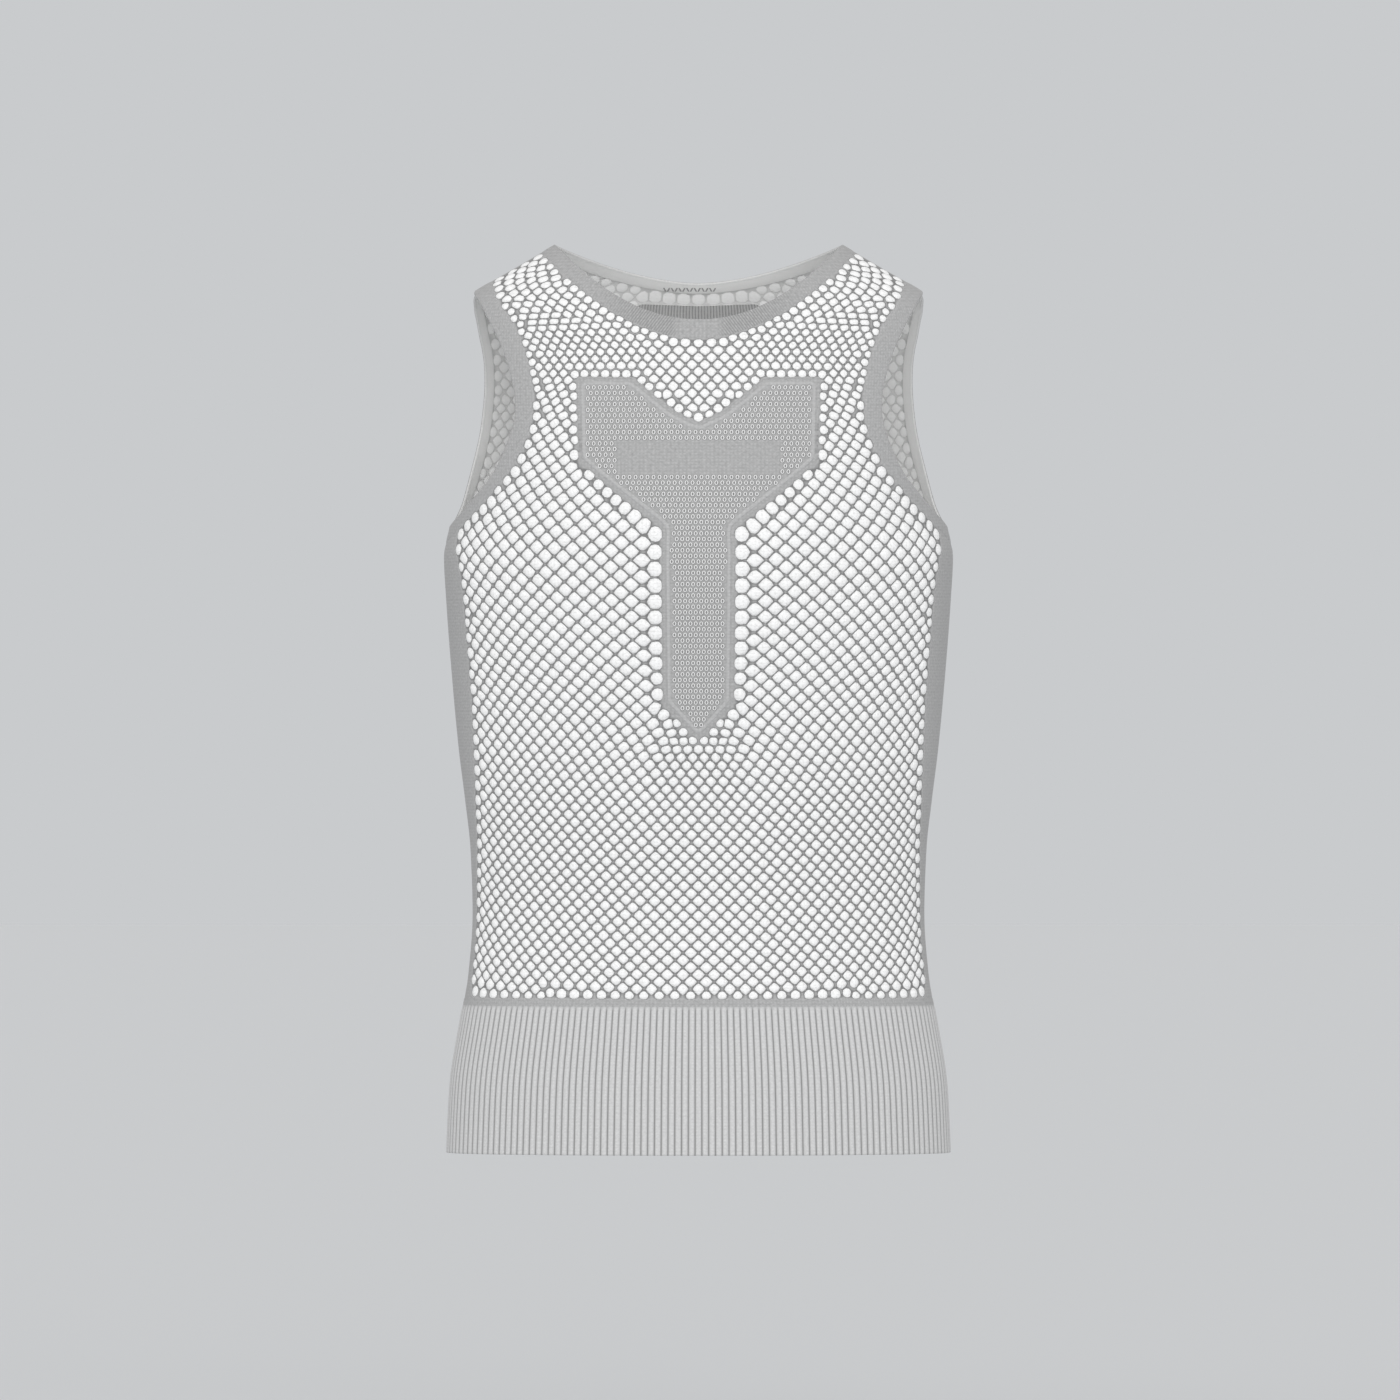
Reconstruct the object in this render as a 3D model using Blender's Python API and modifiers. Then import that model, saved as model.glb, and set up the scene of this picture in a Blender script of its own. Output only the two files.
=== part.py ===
"""Sleeveless mesh base layer, worn open and hollow, in metres with +Z up.

The front faces -Y. The origin is midway between the two points where the shoulder seams meet the
neck, which is where the shoulders hold the garment.

Every piece is cut in one pattern plane and laid on one smooth body form. A pattern point is (angle,
height): the angle runs round the body from the centre front (0) over the left side (90) to the centre
back (180), and the height is measured up from the floor of the pattern. Each piece is an open surface
that a Solidify modifier makes into a wall. A piece that crosses the middle is cut as its left half and
mirrored, and a piece of the left side has a mirrored twin on the right.
"""
import math

import bmesh
import bpy
from mathutils import Matrix, Vector
from mathutils.geometry import delaunay_2d_cdt

MM = 0.001

# ---------------------------------------------------------------- driving dimensions, millimetres
NECK_POINT_HEIGHT = 660.0      # top of the shoulder at the neck, above the floor of the pattern
HEM_HEIGHT = 1.5
WAISTBAND_TOP = 109.0
BORDER_TOP = 114.0

SEAM_GAP = 0.54                # along the middle of the cloth, which leaves 0.3 inside a bend
NET_WALL = 1.6                 # the net is thicker than its yarn
KNIT_WALL = 1.7
RIB_WALL = 2.2
BAND_WALL = 2.2                # bands are knitted double

GRID_SPACING = 19.5            # between the inner points of a piece
OUTLINE_SPACING = 12.0         # between the points of an outline
EDGE_CLEARANCE = 0.55          # of the grid spacing, kept free of inner points along an outline
PATTERN_RADIUS = 130.0         # turns an angle into a width, so that the pattern is nearly to scale

# Sections of the body form: half its width, and its depth in front of and behind the side line.
FORM_SECTIONS = [
    # height, half_width, front_depth, back_depth
    (0.0, 182.2, 87.0, 105.0),
    (50.0, 179.7, 85.0, 102.0),
    (98.0, 172.2, 80.0, 94.0),
    (130.0, 166.4, 76.5, 86.0),
    (175.0, 163.2, 75.0, 80.0),
    (221.0, 164.7, 78.5, 79.5),
    (258.0, 168.7, 83.0, 82.0),
    (294.0, 173.2, 88.5, 86.5),
    (345.0, 178.0, 96.5, 94.0),
    (403.0, 182.4, 104.0, 102.5),
    (434.0, 184.0, 106.0, 106.5),
    (455.0, 179.8, 105.5, 108.5),
    (475.0, 176.6, 104.0, 109.5),
    (510.0, 175.8, 99.5, 107.5),
    (550.0, 177.4, 90.0, 100.5),
    (590.0, 178.6, 76.5, 88.5),
    (610.0, 176.4, 67.0, 79.5),
    (619.0, 171.6, 62.0, 75.0),
    (626.0, 161.8, 57.5, 70.5),
    (643.0, 132.5, 46.0, 57.5),
    (660.0, 103.6, 32.0, 41.0),
    (668.0, 89.8, 26.0, 33.0),
]

# Edge of the left armhole, round the arm from the shoulder, down the front and up the back.
ARMHOLE_EDGE = [
    # place, angle, height
    ("shoulder", 90.0, 626.0),
    ("front", 68.0, 619.0),
    ("front", 57.5, 601.5),
    ("front", 51.2, 576.5),
    ("front", 48.3, 545.0),
    ("front", 50.5, 522.0),
    ("front", 57.7, 493.5),
    ("front", 68.8, 473.0),
    ("under", 79.5, 461.0),
    ("under", 90.0, 456.0),
    ("under", 97.5, 459.0),
    ("back", 104.5, 474.5),
    ("back", 112.0, 506.0),
    ("back", 116.9, 534.5),
    ("back", 119.0, 564.0),
    ("back", 117.7, 588.5),
    ("back", 111.8, 613.0),
    ("back", 101.5, 623.8),
]

# Seam of the left armhole band, round the arm in the same way.
ARMHOLE_SEAM = [
    # place, angle, height
    ("shoulder", 90.0, 633.0),
    ("front", 69.0, 627.5),
    ("front", 54.2, 613.0),
    ("front", 45.8, 588.5),
    ("front", 42.6, 550.0),
    ("front", 44.7, 520.5),
    ("front", 51.8, 493.5),
    ("front", 63.2, 470.5),
    ("strip_front", 73.5, 455.6),
    ("under", 81.8, 447.3),
    ("under", 90.0, 444.0),
    ("under", 98.0, 447.8),
    ("strip_back", 104.8, 458.5),
    ("back", 109.6, 472.5),
    ("back", 116.3, 502.0),
    ("back", 121.0, 533.0),
    ("back", 122.9, 565.0),
    ("back", 121.4, 591.5),
    ("back", 114.8, 618.5),
    ("back", 103.2, 630.2),
]

# Front edge of the left side strip, from the armhole band down. The back edge is its mirror image.
SIDE_STRIP_EDGE = [
    # angle, height
    (74.6, 447.0),
    (72.6, 436.0),
    (70.2, 422.0),
    (69.0, 398.0),
    (68.8, 330.0),
    (70.8, 287.0),
    (75.6, 236.0),
    (79.4, 185.0),
    (80.0, 150.0),
]
NET_CORNER_RADIUS = 14.5       # at the lower corners of the net
CORNER_TIP = 1.5               # height of the strip's foot where the net's corner ends

# Neck lines: half their width and their height at the shoulder, their height at the centre, and the
# power of the width that shapes them.
NECK_LINES = {
    # name: half_width, shoulder_height, centre_height, power
    "front_edge": (103.6, 660.0, 604.7, 2.05),
    "back_edge": (103.6, 660.0, 634.0, 1.7),
    "front_seam": (113.9, 654.0, 589.7, 1.9),
    "back_seam": (113.9, 654.0, 627.0, 1.75),
}

# Left half of the Y-shaped chest panel, from the notch at the neck round to the lower tip.
CHEST_PANEL = [
    # offset, height, corner_radius
    (0.0, 528.3, 0.0),
    (18.8, 536.8, 2.0),
    (48.1, 562.2, 4.0),
    (88.0, 563.0, 3.0),
    (86.8, 502.0, 8.0),
    (26.3, 453.5, 8.0),
    (25.6, 326.0, 5.0),
    (10.8, 305.6, 3.0),
    (0.0, 301.0, 0.0),
]

# Left half of the ribbed patch under the back neck, from its top edge round to its bottom edge.
NAPE_PANEL = [
    # offset, height, corner_radius
    (0.0, 618.0, 0.0),
    (46.0, 619.5, 6.0),
    (46.0, 572.0, 10.0),
    (0.0, 572.0, 0.0),
]

# ---------------------------------------------------------------- cloths
CLOTHS = {
    # name: (red, green, blue, roughness)
    "white_net": (0.86, 0.86, 0.86, 0.9),
    "grey_knit": (0.42, 0.42, 0.42, 0.9),
    "rib_knit": (0.55, 0.55, 0.55, 0.9),
}


def cloth_material(name):
    """Make a matt cloth material from its row in CLOTHS."""
    red, green, blue, roughness = CLOTHS[name]
    material = bpy.data.materials.new(name)
    material.use_nodes = True
    shader = material.node_tree.nodes["Principled BSDF"]
    shader.inputs["Base Color"].default_value = (red, green, blue, 1.0)
    shader.inputs["Roughness"].default_value = roughness
    shader.inputs["Metallic"].default_value = 0.0
    return material


# ---------------------------------------------------------------- curves through a few points
def hermite(start, end, start_slope, end_slope, step, t):
    """Join two values with a cubic that leaves and arrives at the given slopes."""
    return ((2 * t ** 3 - 3 * t ** 2 + 1) * start + (t ** 3 - 2 * t ** 2 + t) * step * start_slope
            + (3 * t ** 2 - 2 * t ** 3) * end + (t ** 3 - t ** 2) * step * end_slope)


def smooth_value(rows, column, key):
    """Read a column of a table at a key between its rows, with a curve that never overshoots."""
    keys = [row[0] for row in rows]
    values = [row[column] for row in rows]
    slopes = [(values[i + 1] - values[i]) / (keys[i + 1] - keys[i]) for i in range(len(keys) - 1)]
    tangents = [slopes[0]]
    for before, after in zip(slopes, slopes[1:]):
        tangents.append(0.0 if before * after <= 0 else 2 * before * after / (before + after))
    tangents.append(slopes[-1])
    i = 0
    while i < len(keys) - 2 and key > keys[i + 1]:
        i += 1
    step = keys[i + 1] - keys[i]
    t = (key - keys[i]) / step
    return hermite(values[i], values[i + 1], tangents[i], tangents[i + 1], step, t)


def spline(points):
    """Run a Catmull-Rom curve through points, and return one dense stretch for each gap."""
    steps = 12
    ends = [2 * points[0] - points[1]] + points + [2 * points[-1] - points[-2]]
    stretches = []
    for p0, p1, p2, p3 in zip(ends, ends[1:], ends[2:], ends[3:]):
        stretch = []
        for k in range(steps + 1):
            t = k / steps
            stretch.append(0.5 * (2 * p1 + (p2 - p0) * t + (2 * p0 - 5 * p1 + 4 * p2 - p3) * t ** 2
                                  + (3 * p1 - p0 - 3 * p2 + p3) * t ** 3))
        stretches.append(stretch)
    return stretches


def join(stretches):
    """Join lines end to end, and keep each shared point once."""
    line = list(stretches[0])
    for stretch in stretches[1:]:
        line += stretch[1:]
    return line


def respace(line, spacing=OUTLINE_SPACING):
    """Return points at an even spacing along a line, with both of its ends."""
    lengths = [0.0]
    for a, b in zip(line, line[1:]):
        lengths.append(lengths[-1] + (b - a).length)
    count = max(1, round(lengths[-1] / spacing))
    points = [line[0]]
    i = 0
    for k in range(1, count):
        target = lengths[-1] * k / count
        while lengths[i + 1] < target:
            i += 1
        points.append(line[i].lerp(line[i + 1], (target - lengths[i]) / (lengths[i + 1] - lengths[i])))
    points.append(line[-1])
    return points


def rounded(corners):
    """Join corners with straight lines, each corner between the ends rounded to its own radius."""
    line = [Vector(corners[0][:2])]
    for before, corner, after in zip(corners, corners[1:], corners[2:]):
        here = Vector(corner[:2])
        inward = (Vector(before[:2]) - here).normalized()
        outward = (Vector(after[:2]) - here).normalized()
        reach = corner[2] / math.tan(inward.angle(outward) / 2)
        start, end = here + inward * reach, here + outward * reach
        line += [start.lerp(here, t).lerp(here.lerp(end, t), t) for t in (0.0, 0.5, 1.0)]
    line.append(Vector(corners[-1][:2]))
    return line


# ---------------------------------------------------------------- the body form
def pattern(angle, height):
    """Turn an angle and a height into a point of the pattern plane."""
    return Vector((math.radians(angle) * PATTERN_RADIUS, height))


def half_width(height):
    """Return half the width of the body form at a height."""
    return smooth_value(FORM_SECTIONS, 1, height)


def on_form(point):
    """Lay a point of the pattern plane on the body form, in metres from the origin."""
    angle = point.x / PATTERN_RADIUS
    depth = smooth_value(FORM_SECTIONS, 2 if math.cos(angle) > 0 else 3, point.y)
    across = half_width(point.y) * math.sin(angle)
    return Vector((across, -depth * math.cos(angle), point.y - NECK_POINT_HEIGHT)) * MM


def from_front(offset, height, behind=False):
    """Find the pattern point at an offset from the centre line, as seen from the front."""
    angle = math.degrees(math.asin(min(1.0, offset / half_width(height))))
    return pattern(180.0 - angle if behind else angle, height)


# ---------------------------------------------------------------- the lines that pieces share
def neck_line(name):
    """Follow a neck line from the centre to the shoulder."""
    half, top, bottom, power = NECK_LINES[name]
    steps = 40
    line = []
    for k in range(steps):
        share = math.sin(math.radians(90.0 * k / steps))
        line.append(from_front(half * share, bottom + (top - bottom) * share ** power, "back" in name))
    return respace(line + [pattern(90.0, top)])


def armhole_line(rows, first, last):
    """Follow an armhole table round the arm, from one named place to the next place asked for."""
    names = [row[0] for row in rows] + [rows[0][0]]
    points = [pattern(angle, height) for _, angle, height in rows]
    stretches = spline([points[-1]] + points + points[:2])[1:-1]
    start = names.index(first)
    end = names.index(last, start + 1)
    return respace(join(stretches[start:end]))


def strip_line(behind=False):
    """Follow the front or back edge of the side strip, from the armhole band to the border."""
    place = "strip_back" if behind else "strip_front"
    top = next(row[1:] for row in ARMHOLE_SEAM if row[0] == place)
    rows = [(180.0 - angle if behind else angle, height) for angle, height in SIDE_STRIP_EDGE]
    corner = pattern(rows[-1][0], BORDER_TOP)
    start = corner + Vector((0.0, NET_CORNER_RADIUS))
    end = corner + Vector((NET_CORNER_RADIUS if behind else -NET_CORNER_RADIUS, CORNER_TIP))
    edge = join(spline([pattern(*top)] + [pattern(*row) for row in rows] + [start]))
    turn = [start.lerp(corner, t / 4).lerp(corner.lerp(end, t / 4), t / 4) for t in range(5)]
    return respace(edge) + turn[1:] + [Vector((end.x, BORDER_TOP))]


def shaped_line(corners, behind=False):
    """Lay an outline given by offsets and heights on the pattern plane."""
    points = []
    line = rounded(corners)
    for a, b in zip(line, line[1:]):
        points += respace([a, b])[:-1]
    return [from_front(p.x, p.y, behind) for p in points + [line[-1]]]


def straight(start, end):
    """Run a straight line of evenly spaced points."""
    return respace([start, end])


# ---------------------------------------------------------------- cutting a piece
def inside(point, loop):
    """Tell whether a point of the pattern plane lies inside a closed loop."""
    crossings = 0
    for a, b in zip(loop, loop[1:] + loop[:1]):
        if (a.y > point.y) != (b.y > point.y):
            crossings += point.x < a.x + (point.y - a.y) * (b.x - a.x) / (b.y - a.y)
    return crossings % 2 == 1


def distance_to_loop(point, loop):
    """Return the distance from a point of the pattern plane to a closed loop."""
    nearest = math.inf
    for a, b in zip(loop, loop[1:] + loop[:1]):
        along = (point - a).dot(b - a) / (b - a).length_squared
        nearest = min(nearest, (a.lerp(b, min(1.0, max(0.0, along))) - point).length)
    return nearest


def inner_points(outline, holes):
    """Fill an outline with a triangular grid of points that keeps clear of every edge."""
    clearance = GRID_SPACING * EDGE_CLEARANCE
    row_height = GRID_SPACING * math.sqrt(3) / 2
    low = Vector((min(p.x for p in outline), min(p.y for p in outline)))
    high = Vector((max(p.x for p in outline), max(p.y for p in outline)))
    points = []
    for row in range(int((high.y - low.y) / row_height) + 1):
        for column in range(int((high.x - low.x) / GRID_SPACING) + 1):
            point = low + Vector(((column + row % 2 / 2) * GRID_SPACING, row * row_height))
            if inside(point, outline) and not any(inside(point, hole) for hole in holes):
                if all(distance_to_loop(point, loop) > clearance for loop in [outline, *holes]):
                    points.append(point)
    return points


def trim_edges(piece, distance):
    """Draw the free edges of a surface inward, but keep it open at the middle plane."""
    def at_middle(vert):
        return abs(vert.co.x) < 0.001 * MM

    shifts = {}
    for vert in piece.verts:
        edges = [edge for edge in vert.link_edges if edge.is_boundary]
        seams = [edge for edge in edges if not all(at_middle(end) for end in edge.verts)]
        inward = []
        for edge in seams:
            along = (edge.verts[1].co - edge.verts[0].co).normalized()
            face = edge.link_faces[0]
            across = face.normal.cross(along)
            middle = (edge.verts[0].co + edge.verts[1].co) / 2
            inward.append(across if across.dot(face.calc_center_median() - middle) > 0 else -across)
        if len(inward) == 2:
            shifts[vert] = (inward[0] + inward[1]) * distance / max(0.3, 1 + inward[0].dot(inward[1]))
        elif len(inward) == 1:
            middle_edge = next(edge for edge in edges if edge not in seams)
            along = (middle_edge.other_vert(vert).co - vert.co).normalized()
            shifts[vert] = along * distance / along.dot(inward[0])
    for vert, shift in shifts.items():
        vert.co += shift


def cut_surface(outline, holes=()):
    """Cut a piece in the pattern plane, lay it on the form and trim it for its seams."""
    loops = [outline, *holes]
    points, edges = [], []
    for loop in loops:
        start = len(points)
        points += loop
        edges += [(start + i, start + (i + 1) % len(loop)) for i in range(len(loop))]
    points += inner_points(outline, holes)
    verts, _, faces, *_ = delaunay_2d_cdt(points, edges, [], 0, 1e-5)

    piece = bmesh.new()
    laid = [piece.verts.new(on_form(vert)) for vert in verts]
    for face in faces:
        centre = sum((verts[i] for i in face), Vector((0.0, 0.0))) / len(face)
        if inside(centre, outline) and not any(inside(centre, hole) for hole in holes):
            piece.faces.new([laid[i] for i in face])
    for vert in laid:
        if not vert.link_faces:
            piece.verts.remove(vert)
        elif abs(vert.co.x) < 0.001 * MM:
            vert.co.x = 0.0
    piece.normal_update()
    trim_edges(piece, SEAM_GAP * MM / 2)
    return piece


# ---------------------------------------------------------------- from a surface to a cloth wall
def cloth_object(name, mesh, wall, material, collection, mirrored):
    """Add a piece of cloth: its surface, mirrored if it is a half, and thickened on both sides."""
    cloth = bpy.data.objects.new(name, mesh)
    cloth.data.materials.append(material)
    collection.objects.link(cloth)
    if mirrored:
        mirror = cloth.modifiers.new("other_half", "MIRROR")
        mirror.use_clip = True
        mirror.merge_threshold = 0.00005
    solidify = cloth.modifiers.new("wall", "SOLIDIFY")
    solidify.thickness = wall * MM
    solidify.offset = 0.0
    solidify.use_even_offset = True
    return cloth


def to_mesh(piece, name):
    """Turn a cut surface into a smooth-shaded mesh."""
    mesh = bpy.data.meshes.new(name)
    piece.to_mesh(mesh)
    piece.free()
    mesh.shade_smooth()
    mesh.set_sharp_from_angle(angle=math.radians(40))
    return mesh


def add_centre_piece(name, outline, wall, material, collection):
    """Add a piece that crosses the middle, from the outline of its left half."""
    mesh = to_mesh(cut_surface(outline), name)
    return cloth_object(name, mesh, wall, material, collection, mirrored=True)


def add_side_pieces(name, outline, holes, wall, material, collection):
    """Add a piece of the left side and its mirrored twin on the right."""
    for side, flip in (("left", False), ("right", True)):
        surface = cut_surface(outline, holes)
        if flip:
            surface.transform(Matrix.Scale(-1.0, 4, (1.0, 0.0, 0.0)))
            bmesh.ops.reverse_faces(surface, faces=surface.faces)
        node = f"{name}_{side}"
        cloth_object(node, to_mesh(surface, node), wall, material, collection, mirrored=False)


# ---------------------------------------------------------------- the pieces
def net_outline(behind):
    """Outline the left half of the front or back net, clear of the panel set into its middle."""
    centre = 180.0 if behind else 0.0
    part = "back" if behind else "front"
    inset = shaped_line(NAPE_PANEL if behind else CHEST_PANEL, behind)
    neck = neck_line(part + "_seam")
    shoulder = straight(neck[-1], pattern(*ARMHOLE_SEAM[0][1:]))
    if behind:
        arm = armhole_line(ARMHOLE_SEAM, "strip_back", "shoulder")[::-1]
    else:
        arm = armhole_line(ARMHOLE_SEAM, "shoulder", "strip_front")
    strip = strip_line(behind)
    foot = straight(strip[-1], pattern(centre, BORDER_TOP))
    lower_middle = straight(foot[-1], inset[-1])
    upper_middle = straight(inset[0], neck[0])
    return join([neck, shoulder, arm, strip, foot, lower_middle, inset[::-1], upper_middle])[:-1]


def inset_outline(corners, behind=False):
    """Outline the left half of a panel set into the middle of the net."""
    line = shaped_line(corners, behind)
    return join([line, straight(line[-1], line[0])])[:-1]


def side_outline():
    """Outline the left side strip."""
    under = armhole_line(ARMHOLE_SEAM, "strip_front", "strip_back")
    back, front = strip_line(behind=True), strip_line(behind=False)
    return join([under, back, straight(back[-1], front[-1]), front[::-1]])[:-1]


def ring_outline(bottom, top):
    """Outline the left half of a ring round the body."""
    corners = [pattern(0.0, bottom), pattern(180.0, bottom), pattern(180.0, top), pattern(0.0, top)]
    return join([straight(a, b) for a, b in zip(corners, corners[1:] + corners[:1])])[:-1]


def neck_band_outline():
    """Outline the left half of the band round the neck."""
    seam = join([neck_line("front_seam"), neck_line("back_seam")[::-1]])
    edge = join([neck_line("front_edge"), neck_line("back_edge")[::-1]])
    return seam + edge[::-1]


def armhole_loop(rows, stops):
    """Follow an armhole line all the way round, in the stretches that its neighbours share."""
    pairs = zip(stops, stops[1:] + stops[:1])
    return join([armhole_line(rows, first, last) for first, last in pairs])[:-1]


def build():
    """Build the whole garment."""
    collection = bpy.data.collections.new("sleeveless_mesh_base_layer")
    bpy.context.scene.collection.children.link(collection)
    net, grey, rib = (cloth_material(name) for name in CLOTHS)

    add_centre_piece("front_mesh_panel", net_outline(behind=False), NET_WALL, net, collection)
    add_centre_piece("back_mesh_panel", net_outline(behind=True), NET_WALL, net, collection)
    add_centre_piece("chest_panel", inset_outline(CHEST_PANEL), KNIT_WALL, grey, collection)
    add_centre_piece("nape_panel", inset_outline(NAPE_PANEL, True), KNIT_WALL, grey, collection)
    add_centre_piece("waist_border", ring_outline(WAISTBAND_TOP, BORDER_TOP), KNIT_WALL, grey, collection)
    add_centre_piece("rib_waistband", ring_outline(HEM_HEIGHT, WAISTBAND_TOP), RIB_WALL, rib, collection)
    add_centre_piece("neck_band", neck_band_outline(), BAND_WALL, grey, collection)
    add_side_pieces("side_panel", side_outline(), [], KNIT_WALL, grey, collection)
    band_seam = armhole_loop(ARMHOLE_SEAM, ["shoulder", "strip_front", "strip_back"])
    band_edge = armhole_loop(ARMHOLE_EDGE, ["shoulder"])
    add_side_pieces("armhole_band", band_seam, [band_edge], BAND_WALL, grey, collection)


for scene_object in list(bpy.data.objects):
    bpy.data.objects.remove(scene_object, do_unlink=True)
build()
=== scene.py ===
"""Looks of a sleeveless mesh base layer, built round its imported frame, in metres with +Z up.

Every cloth is drawn in a pattern plane and laid on one body form. A pattern point is (angle, height):
the angle in degrees runs round the body from the centre front (0) over the left side (90) to the centre
back (180), and the height in millimetres is measured up from the floor of the pattern.
"""

import logging
import math
from collections.abc import Iterator
from dataclasses import dataclass, field
from enum import Enum

import bpy
import numpy as np
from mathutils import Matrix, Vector
from mathutils.geometry import delaunay_2d_cdt


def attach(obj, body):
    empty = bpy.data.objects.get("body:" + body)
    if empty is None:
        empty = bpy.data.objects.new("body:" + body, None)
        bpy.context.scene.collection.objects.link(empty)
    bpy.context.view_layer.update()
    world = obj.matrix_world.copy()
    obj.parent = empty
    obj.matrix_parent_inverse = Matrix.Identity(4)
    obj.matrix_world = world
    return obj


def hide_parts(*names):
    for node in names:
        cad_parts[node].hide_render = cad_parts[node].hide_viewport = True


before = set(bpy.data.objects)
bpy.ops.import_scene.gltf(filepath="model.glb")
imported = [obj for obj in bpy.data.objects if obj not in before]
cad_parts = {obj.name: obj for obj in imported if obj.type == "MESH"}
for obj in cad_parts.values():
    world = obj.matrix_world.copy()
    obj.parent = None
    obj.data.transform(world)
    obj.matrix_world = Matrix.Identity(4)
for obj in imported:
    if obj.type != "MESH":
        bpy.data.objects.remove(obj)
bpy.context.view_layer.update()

log = logging.getLogger("base_layer")
MM = 0.001
PLANE_RADIUS = 130.0           # turns an angle into a width of the pattern plane, in millimetres
PLANE_SCALE = np.array([math.radians(PLANE_RADIUS), 1.0])      # a degree and a height in that plane
CURVE_STEPS = 12               # points of a smooth curve from one of its rows to the next
WHITE_YARN = "#FCFCFB"         # the yarn that shows on the inside of the grey knit


class Side(Enum):
    """The half of the body that a flat pattern is laid on."""

    FRONT = "front"
    BACK = "back"


class Edge(Enum):
    """How a wall of cloth ends at its outline."""

    CUT = "cut"
    FOLDED = "folded"


# ---------------------------------------------------------------- finishes
def srgb(code: str) -> tuple[float, float, float, float]:
    """Turn an sRGB hex code into a linear colour.

    Args:
        code: Six hex digits with a leading #.

    Returns:
        Red, green, blue and alpha.
    """
    values = [int(code[i:i + 2], 16) / 255 for i in (1, 3, 5)]
    red, green, blue = (v / 12.92 if v <= 0.04045 else ((v + 0.055) / 1.055) ** 2.4 for v in values)
    return red, green, blue, 1.0


def add_node(tree: bpy.types.NodeTree, kind: str, links: dict | None = None, **settings) -> bpy.types.Node:
    """Add a node, set it up and link its inputs.

    Args:
        tree: The material's tree.
        kind: The node's type name without its ShaderNode prefix.
        links: Input name or number to a socket to link or a value to set.
        **settings: Attributes of the node itself.

    Returns:
        The new node.
    """
    node = tree.nodes.new("ShaderNode" + kind)
    for name, value in settings.items():
        setattr(node, name, value)
    for key, value in (links or {}).items():
        if isinstance(value, bpy.types.NodeSocket):
            tree.links.new(value, node.inputs[key])
        else:
            node.inputs[key].default_value = value
    return node


@dataclass(frozen=True)
class KnitFinish:
    """Polyamide yarn knitted into a matt cloth.

    The wales are the upright columns of stitches and the courses are their rows. Real ones are about
    0.6 mm apart, and they are drawn coarser here, so that they still show from a few steps away.
    """

    name: str
    light: str                     # the lit top of the yarn
    dark: str                      # the gaps between the stitches
    wale: float = 2.1              # millimetres between wales
    course: float = 2.3            # millimetres between courses
    relief: float = 0.12           # millimetres
    mottle: float = 0.85           # how much the yarn's shade wanders
    roughness: float = 0.85
    sheen: float = 0.15
    inner: str = "#DDDDDC"         # the inner face, where the white yarn of the plated knit lies
    plating: float = 0.85          # how much of the inner face that yarn covers
    span: tuple = (0.05, 0.75)     # the heights of the stitches at which they are dark and light
    patch: float = 1.923           # millimetres across a patch of yarn of one shade
    through: float = 0.0           # share of the light that spreads on through the thin cloth
    spread: float = 2.5            # millimetres that it spreads

    def make(self) -> bpy.types.Material:
        """Build the material's nodes and return it."""
        material = bpy.data.materials.new(self.name)
        material.use_nodes = True
        tree = material.node_tree
        shader = tree.nodes["Principled BSDF"]
        cloth = add_node(tree, "UVMap", uv_map="cloth").outputs["UV"]
        wales = self._stitches(tree, cloth, "X", self.wale)
        courses = self._stitches(tree, cloth, "Y", self.course)
        loops = add_node(tree, "Math", {0: wales, 1: courses}, operation="MULTIPLY").outputs[0]
        wander = add_node(tree, "TexNoise", {"Vector": cloth, "Scale": 1 / (self.patch * MM),
                                             "Detail": 3.0, "Roughness": 0.7}).outputs["Fac"]
        mix = add_node(tree, "Mix", {"Factor": self.mottle, "A": loops, "B": wander}).outputs["Result"]
        shade = self._shade(tree, mix)
        inward = add_node(tree, "Attribute", attribute_name="inward").outputs["Fac"]
        plated = add_node(tree, "Math", {0: inward, 1: self.plating}, operation="MULTIPLY").outputs[0]
        face = add_node(tree, "Mix", {"Factor": plated}, data_type="RGBA")
        tree.links.new(shade, face.inputs[6])
        face.inputs[7].default_value = srgb(self.inner)
        tree.links.new(face.outputs[2], shader.inputs["Base Color"])
        bump = add_node(tree, "Bump", {"Strength": 0.8, "Distance": self.relief * MM, "Height": mix})
        tree.links.new(bump.outputs["Normal"], shader.inputs["Normal"])
        settings = {"Roughness": self.roughness, "Sheen Weight": self.sheen, "Sheen Roughness": 0.5,
                    "Specular IOR Level": 0.25, "Subsurface Weight": self.through,
                    "Subsurface Radius": (1.0, 1.0, 1.0), "Subsurface Scale": self.spread * MM}
        for key, value in settings.items():
            shader.inputs[key].default_value = value
        return material

    @staticmethod
    def _stitches(tree: bpy.types.NodeTree, cloth: bpy.types.NodeSocket, axis: str,
                  pitch: float) -> bpy.types.NodeSocket:
        """Make soft bands across the cloth at a pitch in millimetres, from 0 to 1."""
        full_turn = math.tau / 20.0            # the wave texture's own period at scale 1
        wave = add_node(tree, "TexWave", {"Vector": cloth, "Scale": full_turn / (pitch * MM),
                                          "Distortion": 0.6, "Detail": 1.0}, bands_direction=axis)
        return wave.outputs["Fac"]

    def _shade(self, tree: bpy.types.NodeTree, mix: bpy.types.NodeSocket) -> bpy.types.NodeSocket:
        """Colour the stitches from dark to light."""
        ramp = add_node(tree, "ValToRGB", {"Fac": mix})
        first, last = ramp.color_ramp.elements
        first.position, first.color = self.span[0], srgb(self.dark)
        last.position, last.color = self.span[1], srgb(self.light)
        return ramp.outputs["Color"]


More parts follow.
